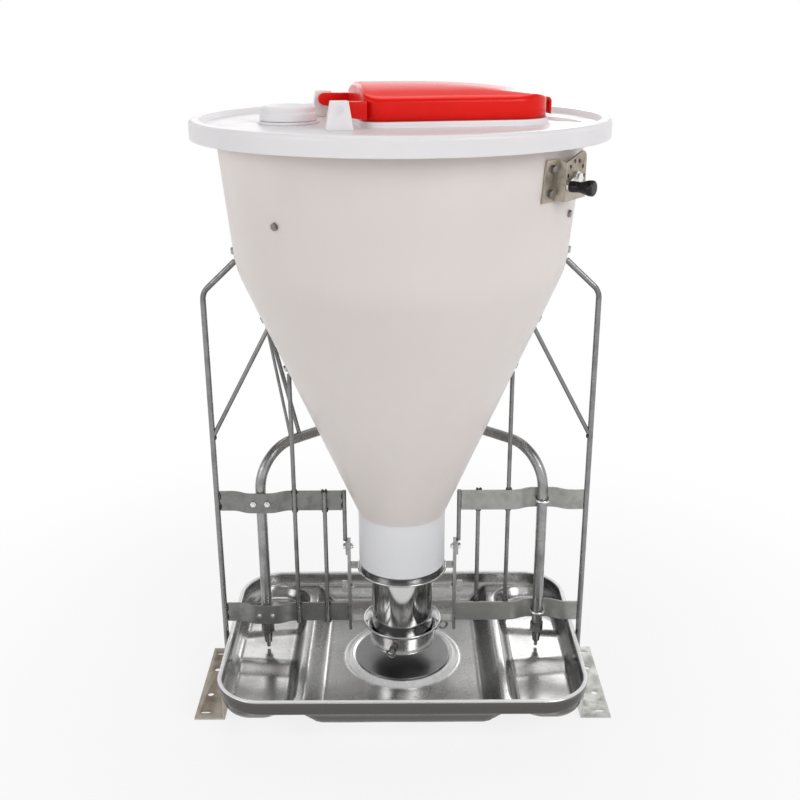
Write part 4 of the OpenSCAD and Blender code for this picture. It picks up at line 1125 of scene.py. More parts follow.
@dataclass(frozen=True)
class SoftBox:
    """One soft box: its name, place, the point that it faces, its size and its power in watts."""

    name: str
    place: Triple
    aim: Triple
    size: Row
    power: float

    def hang(self) -> None:
        """Hangs the box in the scene."""
        data = bpy.data.lights.new(self.name, "AREA")
        data.shape = "RECTANGLE"
        data.size, data.size_y = self.size
        data.energy = self.power
        made = bpy.data.objects.new(self.name, data)
        way = Vector(self.aim) - Vector(self.place)
        turn = way.to_track_quat("-Z", "Y").to_matrix().to_4x4()
        made.matrix_world = Matrix.Translation(self.place) @ turn
        bpy.context.scene.collection.objects.link(made)


@dataclass
class Studio:
    """Camera, soft light and pale floor."""

    eye: Triple = (-0.002, -1.542, 1.072)
    pitch: float = 19.86
    roll: float = -0.26
    focal_px: float = 1038.0
    frame_px: float = 800.0
    sensor: float = 36.0
    floor_half: float = 14.0
    floor_cells: int = 8
    floor_roughness: float = 0.9
    floor_colour: Colour = (0.90, 0.90, 0.90)
    fade_start: float = 0.45
    fade_end: float = 1.2
    near_white: float = 0.80
    sky_tones: tuple[Row, ...] = (
        (0.0, 1.0),
        (0.42, 1.0),
        (0.52, 0.29),
        (0.64, 0.22),
        (0.78, 0.14),
        (1.0, 0.20),
    )
    boxes: tuple[SoftBox, ...] = (
        SoftBox("key_box", (1.5, -1.9, 2.1), (0.0, 0.0, 0.55), (1.3, 1.3), 25.0),
        SoftBox("fill_box", (-1.9, -1.3, 1.5), (0.0, 0.0, 0.45), (1.2, 1.2), 10.5),
        SoftBox("top_box", (0.05, 0.70, 2.7), (0.05, 0.55, 0.5), (1.8, 2.2), 16.0),
        SoftBox("back_box_right", (0.56, 1.75, 1.33), (0.23, -0.05, 0.05), (0.36, 0.8), 2.6),
        SoftBox("back_box_left", (-0.56, 1.75, 1.33), (-0.23, -0.05, 0.05), (0.36, 0.8), 1.1),
    )

    def camera(self) -> None:
        """Sets the camera at the photograph's view."""
        data = bpy.data.cameras.new("photo_camera")
        data.sensor_width = self.sensor
        data.lens = self.focal_px / self.frame_px * self.sensor
        made = bpy.data.objects.new("photo_camera", data)
        tilt = Matrix.Rotation(math.radians(90.0 - self.pitch), 4, "X")
        roll = Matrix.Rotation(math.radians(self.roll), 4, "Z")
        made.matrix_world = Matrix.Translation(self.eye) @ tilt @ roll
        bpy.context.scene.collection.objects.link(made)
        bpy.context.scene.camera = made

    def sky(self) -> None:
        """Surrounds the scene with a white band at the horizon under a dark ceiling."""
        world = bpy.data.worlds.new("studio")
        world.use_nodes = True
        shader = Shader(world.node_tree)
        way = shader.node("ShaderNodeTexCoord", out="Generated")
        height = shader.node("ShaderNodeSeparateXYZ", {}, {0: way}, "Z")
        tone = shader.node("ShaderNodeValToRGB", {"stops": self.sky_tones}, {0: height})
        light = shader.node("ShaderNodeBackground", {}, {"Color": tone, "Strength": 1.0})
        shader.node("ShaderNodeOutputWorld", {}, {"Surface": light})
        bpy.context.scene.world = world

    def floor(self) -> None:
        """Lays a pale floor that whitens away from the feeder."""
        shape = bmesh.new()
        bmesh.ops.create_grid(
            shape, x_segments=self.floor_cells, y_segments=self.floor_cells, size=self.floor_half
        )
        mesh = bpy.data.meshes.new("floor")
        shape.to_mesh(mesh)
        shape.free()
        made = bpy.data.objects.new("floor", mesh)
        bpy.context.scene.collection.objects.link(made)
        material = bpy.data.materials.new("pale_floor")
        material.use_nodes = True
        shader = Shader(material.node_tree)
        length = {"operation": "LENGTH"}
        reach = shader.node("ShaderNodeVectorMath", length, {0: shader.coords()}, "Value")
        seen = shader.node("ShaderNodeLightPath", out="Is Camera Ray")
        for ray in ("Is Glossy Ray", "Is Transmission Ray"):
            seen = seen + shader.node("ShaderNodeLightPath", out=ray)
        fade = reach.span(self.fade_start, self.fade_end, self.near_white, 1.0)
        white = fade * seen.span(0.0, 1.0)
        pale = {"Base Color": self.floor_colour, "Roughness": self.floor_roughness}
        lit = shader.node("ShaderNodeBsdfPrincipled", {}, pale)
        glow = shader.node("ShaderNodeEmission", {}, {"Color": (1.0, 1.0, 1.0), "Strength": 1.0})
        both = shader.node("ShaderNodeMixShader", {}, {0: white, 1: lit, 2: glow})
        shader.node("ShaderNodeOutputMaterial", {}, {"Surface": both})
        mesh.materials.append(material)

    def build(self) -> None:
        """Sets up the whole studio."""
        self.camera()
        self.sky()
        self.floor()
        for box in self.boxes:
            box.hang()
        bpy.context.scene.view_settings.view_transform = "Standard"


def hinge_place(side: float, start: float) -> Matrix:
    """Returns the place of a bar on the hatch's hinge line.

    Args:
        side: 1 for the bar that points to the back, -1 for the one to the front.
        start: The bar's distance from the lid's middle line.

    Returns:
        The place, for a bar that is drawn up from z = 0.
    """
    spot = Matrix.Translation((HINGE_X, side * start, HINGE_Z))
    return LID_TURN @ spot @ Matrix.Rotation(-side * QUARTER_TURN, 4, "X")


@dataclass
class Hopper:
    """Plastic hopper with its lid, hinge brackets, filling port and cap."""

    shop: Shop
    top_r: float = 0.265
    rim_z: float = 0.937
    shoulder_r: float = 0.246
    shoulder_z: float = 0.739
    neck_r: float = 0.071
    neck_top_z: float = 0.327
    neck_bottom_z: float = 0.233
    wall: float = 0.005
    lip_r: float = 0.281
    lip_t: float = 0.006
    shoulder_round: float = 0.140
    neck_round: float = 0.012
    edge_round: float = 0.0015
    plug_y: float = 0.1262
    plug_r: float = 0.0056
    plug_t: float = 0.0014

    def shell(self) -> None:
        """Spins the hopper's wall with its lip."""
        lip_low = self.rim_z - self.lip_t
        taper = (self.top_r - self.shoulder_r) / (self.rim_z - self.shoulder_z)
        under_lip_r = self.top_r - taper * self.lip_t
        rows = [
            (self.neck_r, self.neck_bottom_z),
            (self.neck_r, self.neck_top_z),
            (self.shoulder_r, self.shoulder_z),
            (under_lip_r, lip_low),
            (self.lip_r, lip_low),
            (self.lip_r, self.rim_z),
            (self.top_r - self.wall, self.rim_z),
            (self.shoulder_r - self.wall, self.shoulder_z),
            (self.neck_r - self.wall, self.neck_top_z),
            (self.neck_r - self.wall, self.neck_bottom_z),
        ]
        edge = self.edge_round
        lip = [2.0 * edge, edge, edge, edge]
        bends = [self.neck_round, self.shoulder_round]
        work = Workpiece()
        work.turned(rows, [edge, *bends, *lip, *bends[::-1], edge], steps=192, chords=8)
        work.piece("hopper_wall_moulding", HOPPER_WALL, Body.FRAME, ["hopper_shell"], SMOOTH_CREASE)

    def hinge_plugs(self) -> None:
        """Closes the outer ends of the hinge brackets' bores."""
        work = Workpiece()
        for side in (-1.0, 1.0):
            start = hinge_place(side, self.plug_y - self.plug_t)
            work.bar(self.plug_r, self.plug_t, sides=32, place=start)
        work.piece("hinge_plugs", LID_WHITE, Body.FRAME)

    def build(self) -> None:
        """Builds the hopper and what is moulded with its lid."""
        self.shell()
        self.hinge_plugs()
        moulded = ["hopper_lid", "hinge_brackets", "fill_port"]
        self.shop.dress(moulded, LID_WHITE, Body.FRAME, MOULDED_EDGE)
        self.shop.dress(["port_cap"], LID_WHITE, Body.PORT_CAP, CAP_EDGE)


@dataclass
class Hatch:
    """Red filling hatch: a crowned cover with hinge arms and a pull tab."""

    left: float = -0.065
    right: float = 0.199
    half_w: float = 0.105
    base_z: float = 0.9504
    side: float = 0.029
    crown: float = 0.018
    peak: float = -0.020
    wall: float = 0.0035
    corner_left: float = 0.025
    corner_right: float = 0.055
    top_round: float = 0.006
    roll_steps: int = 6
    crown_steps: int = 18
    crown_ease: float = 0.003
    point_gap: float = 0.005
    knuckle_r: float = 0.009
    knuckle_share: float = 0.98
    stub_r: float = 0.005
    stub_l: float = 0.0195
    arm_w: float = 0.012
    arm_h: float = 0.016
    arm_rise: float = 0.55
    arm_sunk: float = 0.004
    stub_sunk: float = 0.001
    edge: float = 0.0012
    tab_w: float = 0.040
    tab_h: float = 0.024
    tab_l: float = 0.020
    tab_t: float = 0.004
    tab_sunk: float = 0.001
    tab_rounds: tuple[float, ...] = (0.0, 0.003, 0.001, 0.001, 0.007, 0.0)

    def plan(self) -> list[Vector]:
        """Returns the cover's outline from above.

        Returns:
            The outline's points, about a gap apart.
        """
        corners = [
            (self.left, -self.half_w),
            (self.right, -self.half_w),
            (self.right, self.half_w),
            (self.left, self.half_w),
        ]
        radii = [self.corner_left, self.corner_right, self.corner_right, self.corner_left]
        bare = round_corners(corners, radii, closed=True, steps=16)
        line: list[Vector] = []
        for here, after in zip(bare, bare[1:] + bare[:1]):
            count = max(1, round((after - here).length / self.point_gap))
            line.extend(here.lerp(after, k / count) for k in range(count))
        return line

    def top(self, x: float, y: float) -> float:
        """Returns the height of the crowned top over a point of the plan.

        Args:
            x: The point's place along the hatch.
            y: The point's place across it.

        Returns:
            The height.
        """
        across_r = (self.half_w**2 + self.crown**2) / (2.0 * self.crown)
        along_r = ((self.right - self.peak) ** 2 + self.crown**2) / (2.0 * self.crown)
        across = math.sqrt(max(across_r**2 - y**2, 0.0)) - across_r
        fall = max(x - self.peak, 0.0)
        along = math.sqrt(max(along_r**2 - fall**2, 0.0)) - along_r
        return self.base_z + self.side + self.crown + soft_min(across, along, self.crown_ease)

    def ring_rows(self) -> list[tuple[float, ...]]:
        """Returns the cover's rings, from its open edge to the middle of its top.

        Returns:
            Each ring's share of the height, inset, drop below the top and scale about the middle.
        """
        rows = [(share, 0.0, self.top_round, 1.0) for share in (0.0, 0.5)]
        for k in range(self.roll_steps + 1):
            turn = QUARTER_TURN * k / self.roll_steps
            inset = self.top_round * (1.0 - math.cos(turn))
            drop = self.top_round * (1.0 - math.sin(turn))
            rows.append((1.0, inset, drop, 1.0))
        for k in range(1, self.crown_steps + 1):
            rows.append((1.0, self.top_round, 0.0, 1.0 - k / self.crown_steps))
        return rows

    def cover(self) -> None:
        """Draws the cover as one sheet round its plan and gives it a wall."""
        plan = self.plan()
        count = len(plan)
        rows = self.ring_rows()
        middle = Vector(((self.left + self.right) / 2.0, 0.0, 0.0))

        def surface(u: float, v: float) -> Vector:
            """Returns a point of the cover.

            Args:
                u: The share of the way round.
                v: The share of the way up.

            Returns:
                The point.
            """
            i = round(u * count) % count
            share, inset, drop, scale = rows[round(v * (len(rows) - 1))]
            along = plan[(i + 1) % count] - plan[i - 1]
            inward = Vector((-along.y, along.x, 0.0)).normalized()
            point = middle + (plan[i] + inward * inset - middle) * scale
            point.z = self.base_z + (self.top(point.x, point.y) - drop - self.base_z) * share
            return point

        work = Workpiece()
        work.sheet(count, len(rows) - 1, surface, LID_TURN)
        cover = work.piece("hatch_cover", HATCH_RED, Body.HATCH, ["hatch"], SMOOTH_CREASE)
        thicken(cover, self.wall, even=True)

    def hinge(self) -> None:
        """Adds the two hinge arms with their stubs, and the pull tab."""
        work = Workpiece()
        across = Matrix.Rotation(QUARTER_TURN, 4, "X")
        for side in (-1.0, 1.0):
            y = side * (self.half_w - self.arm_w / 2.0)
            reach = self.left - HINGE_X + self.arm_sunk
            line = [
                (0.0, -self.knuckle_r),
                (reach, -self.arm_h),
                (reach, self.arm_h * self.arm_rise),
                (0.0, self.knuckle_r),
                (-self.knuckle_r, self.knuckle_r),
                (-self.knuckle_r, -self.knuckle_r),
            ]
            radii = [0.0] * 4 + [self.knuckle_r * self.knuckle_share] * 2
            knuckle = round_corners(line, radii, closed=True, steps=8)
            move = Matrix.Translation((HINGE_X, y + self.arm_w / 2.0, HINGE_Z))
            work.plate(knuckle, self.arm_w, self.edge, LID_TURN @ move @ across)
            start = hinge_place(side, self.half_w - self.stub_sunk)
            work.bar(self.stub_r, self.stub_l, sides=32, place=start)
        end = self.tab_l + self.tab_sunk
        lip = [
            (0.0, self.tab_h - self.tab_t),
            (end - self.tab_t, self.tab_h - self.tab_t),
            (end - self.tab_t, 0.0),
            (end, 0.0),
            (end, self.tab_h),
            (0.0, self.tab_h),
        ]
        tab = round_corners(lip, self.tab_rounds, closed=True, steps=6)
        move = Matrix.Translation((self.right - self.tab_sunk, self.tab_w / 2.0, self.base_z))
        work.plate(tab, self.tab_w, self.edge, LID_TURN @ move @ across)
        work.piece("hatch_hinge_arms", HATCH_RED, Body.HATCH)

    def build(self) -> None:
        """Builds the hatch."""
        self.cover()
        self.hinge()


@dataclass
class SettingGear:
    """Lever, index plate and grip on the hopper's side, with the valve and its guide inside."""

    shop: Shop
    shaft_az: float = 54.0
    shaft_y: float = 0.0185
    shaft_z: float = 0.880
    index_r: float = 0.023
    lever_rest: float = 201.0
    grip_x: float = 0.2783
    grip_l: float = 0.034
    grip_base_r: float = 0.0075
    grip_waist_r: float = 0.0068
    grip_end_r: float = 0.0105
    grip_shares: Triple = (0.14, 0.40, 0.80)
    grip_rounds: tuple[float, ...] = (0.0, 0.0012, 0.006, 0.016, 0.006, 0.0028, 0.0)

    def grip(self) -> None:
        """Spins the waisted grip along its pin."""
        rest = math.radians(self.lever_rest)
        base, waist, end = (share * self.grip_l for share in self.grip_shares)
        rows = [
            (0.0, 0.0),
            (self.grip_base_r, 0.0),
            (self.grip_base_r, base),
            (self.grip_waist_r, waist),
            (self.grip_end_r, end),
            (self.grip_end_r, self.grip_l),
            (0.0, self.grip_l),
        ]
        middle = Matrix.Translation((
            self.grip_x,
            self.shaft_y + self.index_r * math.cos(rest),
            self.shaft_z + self.index_r * math.sin(rest),
        ))
        work = Workpiece()
        turn = facing(self.shaft_az) @ middle @ Matrix.Rotation(QUARTER_TURN, 4, "Y")
        work.turned(rows, self.grip_rounds, closed=False, place=turn, steps=64, chords=8)
        work.piece("waisted_grip", GRIP_BLACK, Body.INDEX_KNOB, ["lever_grip"])

    def build(self) -> None:
        """Builds the setting gear."""
        self.grip()
        self.shop.dress(["adjuster_bracket"], BRACKET_ZINC, Body.FRAME, BAR_EDGE)
        self.shop.dress(["bracket_bolts", "spider_bolts"], DARK_BOLT, Body.FRAME)
        self.shop.dress(["shaft_bush", "guide_spider"], GALVANISED, Body.FRAME)
        self.shop.dress(["adjuster_shaft", "lever_arm"], BRIGHT_NUT, Body.LEVER, FINE_EDGE)
        self.shop.dress(["index_pin"], FASTENER, Body.INDEX_KNOB, PIN_EDGE)
        self.shop.dress(["valve_rod", "valve_cone"], POLISHED, Body.VALVE, FINE_EDGE)


@dataclass
class Outlet:
    """Neck ring, feed sleeve and outlet collar, with three thumbscrews."""

    shop: Shop
    ring_r: float = 0.0735
    ring_low_z: float = 0.221
    ring_high_z: float = 0.223
    ring_bore: float = 0.0518
    spigot_r: float = 0.0656
    sheet: float = 0.002
    seat_z: float = 0.262
    seat_hole_r: float = 0.044
    sleeve_r: float = 0.051
    sleeve_low_z: float = 0.084
    sleeve_high_z: float = 0.247
    sleeve_ease: float = 0.0008
    collar_bore: float = 0.0518
    collar_r: float = 0.0543
    mouth_r: float = 0.066
    collar_low_z: float = 0.080
    collar_knee_z: float = 0.110
    collar_lip_z: float = 0.119
    collar_top_z: float = 0.121
    mouth_step: float = 0.0008
    roll_r: float = 0.0018
    roll_in: float = 0.0006
    mouth_roll: Row = (0.00162, 0.00126)
    foot_roll: Row = (0.0009, 0.00144)
    foot_roll_r: float = 0.00144
    screw_z: float = 0.094
    screw_tip: float = 0.0514
    screw_neck: float = 0.0663
    screw_r: float = 0.003
    eye_r: float = 0.007
    eye_wire: float = 0.0017
    nut_r: float = 0.0072
    nut_h: float = 0.007
    nut_sunk: float = 0.0008
    spigot_rounds: tuple[float, ...] = (0.0004, 0.0004, 0.0015, 0.0006, 0.0006, 0.001)
    flange_rounds: tuple[float, ...] = (0.0006, 0.0009, 0.0009, 0.0006)
    collar_rounds: tuple[float, ...] = (
        0.0009,
        0.0009,
        0.004,
        0.0008,
        0.0008,
        0.0006,
        0.0006,
        0.004,
    )
    screws: tuple[tuple[Body, float, float], ...] = (
        (Body.SCREW_FRONT, -15.0, 60.0),
        (Body.SCREW_RIGHT, 105.0, 0.0),
        (Body.SCREW_LEFT, 225.0, 0.0),
    )

    def neck_ring(self) -> None:
        """Spins the neck ring with its rolled edge, and the spigot with the valve's seat, dark as
        painted shade.
        """
        inner = self.spigot_r - self.sheet
        foot = self.ring_high_z - self.sheet / 2.0
        spigot = [
            (inner, foot),
            (self.spigot_r, foot),
            (self.spigot_r, self.seat_z + self.sheet),
            (self.seat_hole_r, self.seat_z + self.sheet),
            (self.seat_hole_r, self.seat_z),
            (inner, self.seat_z),
        ]
        work = Workpiece()
        work.turned(spigot, self.spigot_rounds)
        # Dark fitting finish on the steel spigot: painted shade for the gap under the hopper's
        # neck.
        work.piece("neck_spigot_shaded", DARK_FITTING, Body.FRAME)
        flange = tube_rows(self.ring_bore, self.ring_r, self.ring_low_z, self.ring_high_z)
        work = Workpiece()
        work.turned(flange, self.flange_rounds)
        middle_z = (self.ring_low_z + self.ring_high_z) / 2.0
        work.ring(self.ring_r - self.roll_in, self.roll_r, raised(middle_z))
        work.piece("neck_ring_spinning", POLISHED, Body.FRAME, ["neck_ring"])

    def sleeve(self) -> None:
        """Spins the polished sleeve with eased ends."""
        inner = self.sleeve_r - self.sheet
        rows = tube_rows(inner, self.sleeve_r, self.sleeve_low_z, self.sleeve_high_z)
        work = Workpiece()
        work.turned(rows, [self.sleeve_ease] * 4)
        work.piece("sleeve_tube", POLISHED, Body.SLEEVE, ["feed_sleeve"])

    def collar(self) -> None:
        """Spins the collar with its flared mouth and a roll on each edge."""
        wall = self.collar_r - self.collar_bore
        rows = [
            (self.collar_bore, self.collar_low_z),
            (self.collar_r, self.collar_low_z),
            (self.collar_r, self.collar_knee_z),
            (self.mouth_r, self.collar_lip_z),
            (self.mouth_r, self.collar_top_z),
            (self.mouth_r - wall, self.collar_top_z),
            (self.mouth_r - wall, self.collar_lip_z + self.mouth_step),
            (self.collar_bore, self.collar_knee_z + self.mouth_step),
        ]
        work = Workpiece()
        work.turned(rows, self.collar_rounds)
        inward, down = self.mouth_roll
        work.ring(self.mouth_r - inward, self.roll_r, raised(self.collar_top_z - down))
        inward, up = self.foot_roll
        work.ring(self.collar_r - inward, self.foot_roll_r, raised(self.collar_low_z + up))
        work.piece("collar_spinning", POLISHED, Body.FRAME, ["outlet_collar"])

    def thumbscrews(self) -> None:
        """Makes the three ring-headed screws and the nuts on the collar that hold them."""
        nuts = Workpiece()
        flat = Matrix.Rotation(QUARTER_TURN, 4, "Y")
        for body, azimuth, roll in self.screws:
            turn = facing(azimuth) @ raised(self.screw_z)
            seat = Matrix.Translation((self.collar_r - self.nut_sunk, 0.0, 0.0)) @ flat
            nuts.bar(self.nut_r, self.nut_h, sides=6, place=turn @ seat, edge=self.nut_r * NUT_EASE)
            tip = Matrix.Translation((self.screw_tip, 0.0, 0.0)) @ flat
            work = Workpiece()
            work.bar(self.screw_r, self.screw_neck - self.screw_tip, sides=24, place=turn @ tip)
            eye = Matrix.Translation((self.screw_neck + self.eye_r, 0.0, 0.0))
            upright = Matrix.Rotation(math.radians(90.0 + roll), 4, "X")
            work.ring(self.eye_r, self.eye_wire, turn @ eye @ upright, steps=48)
            work.piece(f"{body.value}_ringed", DARK_FITTING, body, [body.value])
        nuts.piece("collar_nuts", DARK_BOLT, Body.FRAME)

    def build(self) -> None:
        """Builds the outlet."""
        self.neck_ring()
        self.sleeve()
        self.collar()
        self.thumbscrews()
        self.shop.dress(["ring_tabs", "collar_tabs"], STRIP_ZINC, Body.FRAME)


@dataclass
class Trough:
    """Pressed trough with its rolled rim, the disc on its boss and its floor brackets."""

    shop: Shop
    half_x: float = 0.286
    half_y: float = 0.194
    corner: float = 0.066
    ledge_z: float = 0.070
    floor_z: float = 0.046
    floor_half_x: float = 0.131
    ledge_half_x: float = 0.156
    floor_half_y: float = 0.184
    boss_r: float = 0.098
    boss_top_r: float = 0.0835
    boss_h: float = 0.004
    boss_roll_r: float = 0.0885
    boss_roll_h: float = 0.0032
    boss_roll_w: float = 0.0050
    bowl_x: Row = (0.172, 0.288)
    bowl_half_y: float = 0.193
    bowl_corner: float = 0.050
    bowl_slope: float = 0.013
    well_z: float = 0.052
    saddle_z: float = 0.061
    saddle_y: Row = (0.034, 0.080)
    well_skew: float = 0.10
    slope_ease: float = 0.2
    floor_ease: float = 0.25
    bowl_ease: float = 0.3
    ease: float = 0.0035
    dent: float = 0.0005
    dent_scale: float = 14.0
    dent_seed: float = 0.3
    sheet: float = 0.002
    fillet: float = 0.004
    fillet_steps: int = 4
    bead_start: float = 215.0
    bead_turn: float = 22.5
    bead_steps: int = 15
    bead_r: float = 0.004
    bead_z: float = 0.093
    bead_out: float = 0.006
    cells: tuple[int, int] = (200, 138)
    disc_r: float = 0.0805
    disc_low_z: float = 0.050
    disc_t: float = 0.002
    disc_lip_w: float = 0.004
    disc_lip_h: float = 0.0002
    dish_r: float = 0.020
    dish_h: float = 0.0006
    disc_rounds: tuple[float, ...] = (0.0, 0.0008, 0.0008, 0.003, 0.004, 0.0)

    def middle(self, x: float, y: float) -> float:
        """Returns the height of the middle hollow with its boss over a point of the plan.

        Args:
            x: The point's place across the trough.
            y: The point's place along its depth.

        Returns:
            The height, which goes on rising past the ledge.
        """
        slope_x = (abs(x) - self.floor_half_x) / (self.ledge_half_x - self.floor_half_x)
        slope_y = (abs(y) - self.floor_half_y) / (self.half_y - self.floor_half_y)
        slope = soft_max(soft_max(slope_x, slope_y, self.slope_ease), 0.0, self.floor_ease)
        reach = math.hypot(x, y)
        boss = self.boss_h * (1.0 - smooth_step(self.boss_top_r, self.boss_r, reach))
        roll = self.boss_roll_h * math.exp(-(((reach - self.boss_roll_r) / self.boss_roll_w) ** 2))
        return self.floor_z + (self.ledge_z - self.floor_z) * slope + boss + roll

    def bowl(self, x: float, y: float) -> float:
        """Returns the height of the side bowl with its saddle and wells over a point of the plan.

        Args:
            x: The point's place across the trough.
            y: The point's place along its depth.

        Returns:
            The height, which goes on rising past the ledge.
        """
        inner, outer = self.bowl_x
        corner = self.bowl_corner
        off_x = abs(abs(x) - (inner + outer) / 2.0) - (outer - inner) / 2.0 + corner
        off_y = abs(y) - self.bowl_half_y + corner
        beyond = math.hypot(max(off_x, 0.0), max(off_y, 0.0))
        apart = beyond + min(max(off_x, off_y), 0.0) - corner
        deep = smooth_step(*self.saddle_y, abs(y) + self.well_skew * (abs(x) - inner))
        low = self.saddle_z + (self.well_z - self.saddle_z) * deep
        rise = soft_max(1.0 + apart / self.bowl_slope, 0.0, self.bowl_ease)
        return low + (self.ledge_z - low) * rise

    def height(self, x: float, y: float) -> float:
        """Returns the height of the pressed sheet over a point of the plan."""
        lower = soft_min(self.middle(x, y), self.bowl(x, y), self.ease)
        return soft_min(lower, self.ledge_z, self.ease)

    def spot(self, u: float, v: float) -> Vector:
        """Returns a point of the sheet, whose corners are round.

        Args:
            u: The share of the trough's length.
            v: The share of its depth.

        Returns:
            The point.
        """
        x = (2.0 * u - 1.0) * self.half_x
        y = (2.0 * v - 1.0) * self.half_y
        dx = max(abs(x) - (self.half_x - self.corner), 0.0) / self.corner
        dy = max(abs(y) - (self.half_y - self.corner), 0.0) / self.corner
        round_x = dx * math.sqrt(1.0 - dy * dy / 2.0)
        round_y = dy * math.sqrt(1.0 - dx * dx / 2.0)
        x -= math.copysign((dx - round_x) * self.corner, x)
        y -= math.copysign((dy - round_y) * self.corner, y)
        grid = Vector((self.dent_scale * x, self.dent_scale * y, self.dent_seed))
        ripple = noise.noise(grid) * self.dent
        return Vector((x, y, self.height(x, y) + ripple))

    def rim_rows(self) -> list[Row]:
        """Returns the rows of the wall and of its rolled bead.

        Returns:
            Each row's offset from the sheet's edge and its height.
        """
        rows: list[Row] = []
        for k in range(1, self.fillet_steps + 1):
            turn = QUARTER_TURN * k / self.fillet_steps
            rise = self.fillet * (1.0 - math.cos(turn))
            rows.append((self.fillet * math.sin(turn), self.ledge_z + rise))
        rows.append((self.fillet, (self.ledge_z + self.bead_z) / 2.0))
        for k in range(self.bead_steps):
            turn = math.radians(self.bead_start - self.bead_turn * k)
            out = self.bead_out + self.bead_r * math.cos(turn)
            rows.append((out, self.bead_z + self.bead_r * math.sin(turn)))
        return rows

    def pan(self) -> None:
        """Presses the sheet, raises its wall and rolls the rim."""
        work = Workpiece()
        work.sheet(self.cells[0], self.cells[1], self.spot, rows=self.rim_rows(), hub=self.hub)
        pan = work.piece("trough_pressing", PRESSED, Body.FRAME, ["trough"], SMOOTH_CREASE)
        thicken(pan, self.sheet, even=False)

    def hub(self, point: Vector) -> tuple[Vector, Vector, float]:
        """Returns the centre that a wall point is set out from.

        Args:
            point: A point of the wall.

        Returns:
            The corner's centre, the way out from it and the sheet edge's distance from it.
        """
        reach_x = self.half_x - self.corner
        reach_y = self.half_y - self.corner
        x = min(max(point.x, -reach_x), reach_x)
        y = min(max(point.y, -reach_y), reach_y)
        centre = Vector((x, y, 0.0))
        way = Vector((point.x, point.y, 0.0)) - centre
        return centre, way.normalized(), self.corner

    def disc(self) -> None:
        """Spins the spreader disc with a rolled edge and a faint dish."""
        top = self.disc_low_z + self.disc_t
        rows = [
            (0.0, self.disc_low_z),
            (self.disc_r, self.disc_low_z),
            (self.disc_r, top + self.disc_lip_h),
            (self.disc_r - self.disc_lip_w, top),
            (self.dish_r, top - self.dish_h),
            (0.0, top - self.dish_h),
        ]
        work = Workpiece()
        work.turned(rows, self.disc_rounds, closed=False, steps=128)
        work.piece("spreader_spinning", DISC_STEEL, Body.FRAME, ["spreader_disc"])

    def build(self) -> None:
        """Builds the trough and its feet."""
        self.pan()
        self.disc()
        self.shop.dress(["base_bracket_left"], PLATED_WARM, Body.FRAME, BAR_EDGE)
        self.shop.dress(["base_bracket_right"], PLATED_PALE, Body.FRAME, BAR_EDGE)
        self.shop.dress(["trough_bolts"], FASTENER, Body.FRAME)


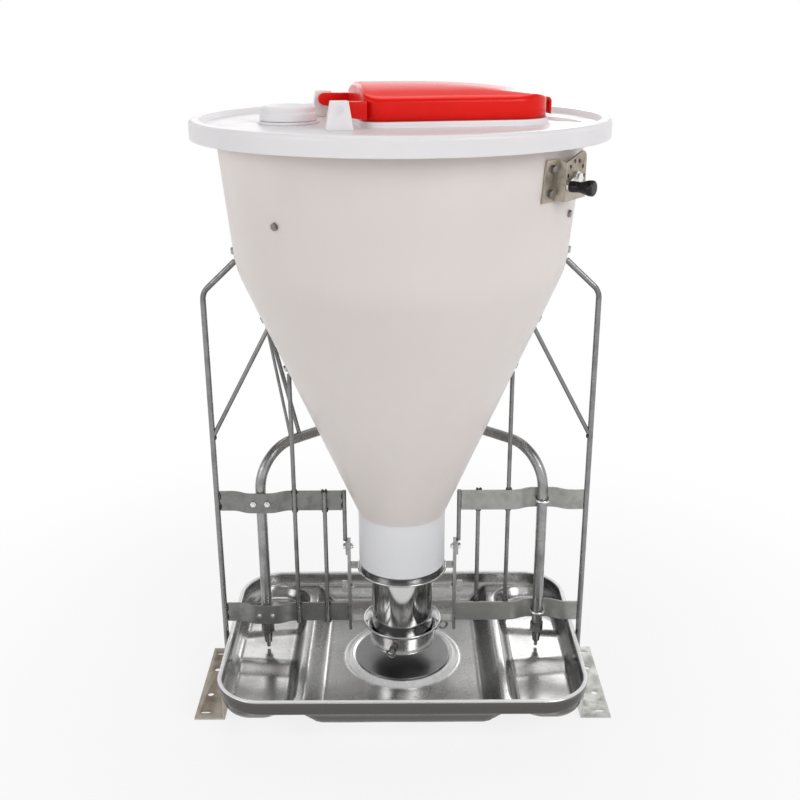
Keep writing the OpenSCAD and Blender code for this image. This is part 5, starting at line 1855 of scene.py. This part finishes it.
@dataclass
class RodFrame:
    """Welded frame: posts, braces, upright rods, strips and hanger bars, with bolts and welds."""

    shop: Shop
    strip_z: Row = (0.341, 0.133)
    strip_h: float = 0.035
    strip_t: float = 0.003
    strip_in: Row = (0.0976, 0.0906)
    post_x: float = 0.302
    post_r: float = 0.0045
    pipe_x: float = 0.230
    joggle_half: float = 0.022
    joggle_slope: float = 0.018
    joggle_y: float = 0.0103
    joggle_round: float = 0.034
    rod_r: float = 0.0035
    rods: Row = (0.175, 0.126)
    brace_low_z: float = 0.452
    edge: float = 0.0007
    rod_bead: Triple = (0.0026, 0.0019, 0.0048)
    post_bead: Triple = (0.0028, 0.0026, 0.007)
    end_bead: Triple = (0.0016, 0.0018, 0.005)
    brace_bead: Triple = (0.003, 0.0034, 0.006)
    bead_gap: float = 0.0006
    bead_inset: float = 0.001
    bead_flank: float = 0.75
    post_bead_yz: Row = (0.0012, 0.009)
    end_bead_yz: Row = (0.0010, 0.008)
    foot_share: float = 0.8
    foot_rise: float = 0.002
    seed_step: float = 0.37

    def strip(self, side: Side, start: float, z: float, name: str) -> None:
        """Bends one strip round the water pipe.

        Args:
            side: The panel that it belongs to.
            start: Distance of its inner end from the middle.
            z: Height of its middle.
            name: The CAD node that it replaces.
        """
        out = self.joggle_half + self.joggle_slope
        rows = [
            (start, 0.0),
            (self.pipe_x - out, 0.0),
            (self.pipe_x - self.joggle_half, self.joggle_y),
            (self.pipe_x + self.joggle_half, self.joggle_y),
            (self.pipe_x + out, 0.0),
            (self.post_x - self.post_r, 0.0),
        ]
        radii = [0.0] + [self.joggle_round] * 4 + [0.0]
        line = round_corners(rows, radii, closed=False, steps=5)
        place = side.turn() @ raised(z - self.strip_h / 2.0)
        work = Workpiece()
        work.ribbon(line, self.strip_t, self.strip_h, self.edge, place)
        # The left panel's strips take the darker copy of the zinc as painted shade.
        zinc = STRIP_SHADED if side is Side.LEFT else STRIP_ZINC
        even_normals(work.piece(f"{name}_bent", zinc, Body.FRAME, [name]))

    def welds(self) -> None:
        """Lays the weld beads where strips, rods, posts, hanger bars and braces meet."""
        work = Workpiece()
        seed = 0.0
        spots: list[tuple[Vector, Triple]] = []
        face = self.strip_t / 2.0 + self.bead_gap
        post_edge = self.post_x - self.post_r
        post_y, post_z = self.post_bead_yz
        end_y, end_z = self.end_bead_yz
        for z, start in zip(self.strip_z, self.strip_in):
            for end in (-1.0, 1.0):
                level = z + end * (self.strip_h / 2.0 - self.bead_inset)
                for rod in self.rods:
                    for flank in (-1.0, 1.0):
                        x = rod + flank * self.rod_r * self.bead_flank
                        spots.append((Vector((x, face, level)), self.rod_bead))
                spots.append((Vector((post_edge, post_y, z + end * post_z)), self.post_bead))
                spots.append((Vector((start, end_y, z + end * end_z)), self.end_bead))
        foot_x = self.post_x - self.post_r * self.foot_share
        spots.append((Vector((foot_x, 0.0, self.brace_low_z + self.foot_rise)), self.brace_bead))
        for side in Side:
            for place, size in spots:
                seed += self.seed_step
                work.bead(size, side.turn() @ Matrix.Translation(place), seed)
        work.piece("weld_beads", WELD, Body.FRAME)

    def build(self) -> None:
        """Builds the frame."""
        kinds = ("post", "brace", "outer_rod", "middle_rod", "inner_rod")
        for side in Side:
            hand = side.name.lower()
            for level, start, z in zip(("upper", "lower"), self.strip_in, self.strip_z):
                self.strip(side, start, z, f"{level}_strip_{hand}")
            bars = [f"{kind}_{hand}" for kind in kinds]
            self.shop.dress(bars, GALVANISED, Body.FRAME, BAR_EDGE)
            self.shop.dress([f"hanger_bar_{hand}"], GALVANISED, Body.FRAME)
        self.shop.dress(["frame_bolts"], FASTENER, Body.FRAME)
        self.shop.dress(["hanger_bolts"], BRIGHT_NUT, Body.FRAME)
        self.shop.dress(["stay_rods"], GALVANISED, Body.FRAME)
        self.welds()


@dataclass
class WaterLine:
    """Bent water pipes with their tee, U-bolts and drinking nipples."""

    shop: Shop

    def build(self) -> None:
        """Builds the water line."""
        self.shop.dress(["pipe_left", "pipe_right", "inlet_tee"], PIPE_ZINC, Body.FRAME, BAR_EDGE)
        self.shop.dress(["u_bolts", "u_bolt_nuts"], BRIGHT_NUT, Body.FRAME, FINE_EDGE)
        self.shop.dress(["nipple_left", "nipple_right"], DARK_FITTING, Body.FRAME)
        for body in (Body.PIN_LEFT, Body.PIN_RIGHT):
            self.shop.dress([body.value], DARK_FITTING, body, FINE_EDGE)


def main() -> None:
    """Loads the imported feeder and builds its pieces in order."""
    logging.basicConfig(level=logging.INFO, format="%(message)s")
    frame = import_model()
    shop = Shop(frame["nodes"])
    for assembly in (
        Studio(),
        Hopper(shop),
        Hatch(),
        SettingGear(shop),
        Outlet(shop),
        Trough(shop),
        RodFrame(shop),
        WaterLine(shop),
    ):
        LOG.info("building: %s", type(assembly).__name__)
        assembly.build()


if __name__ == "__main__":
    main()
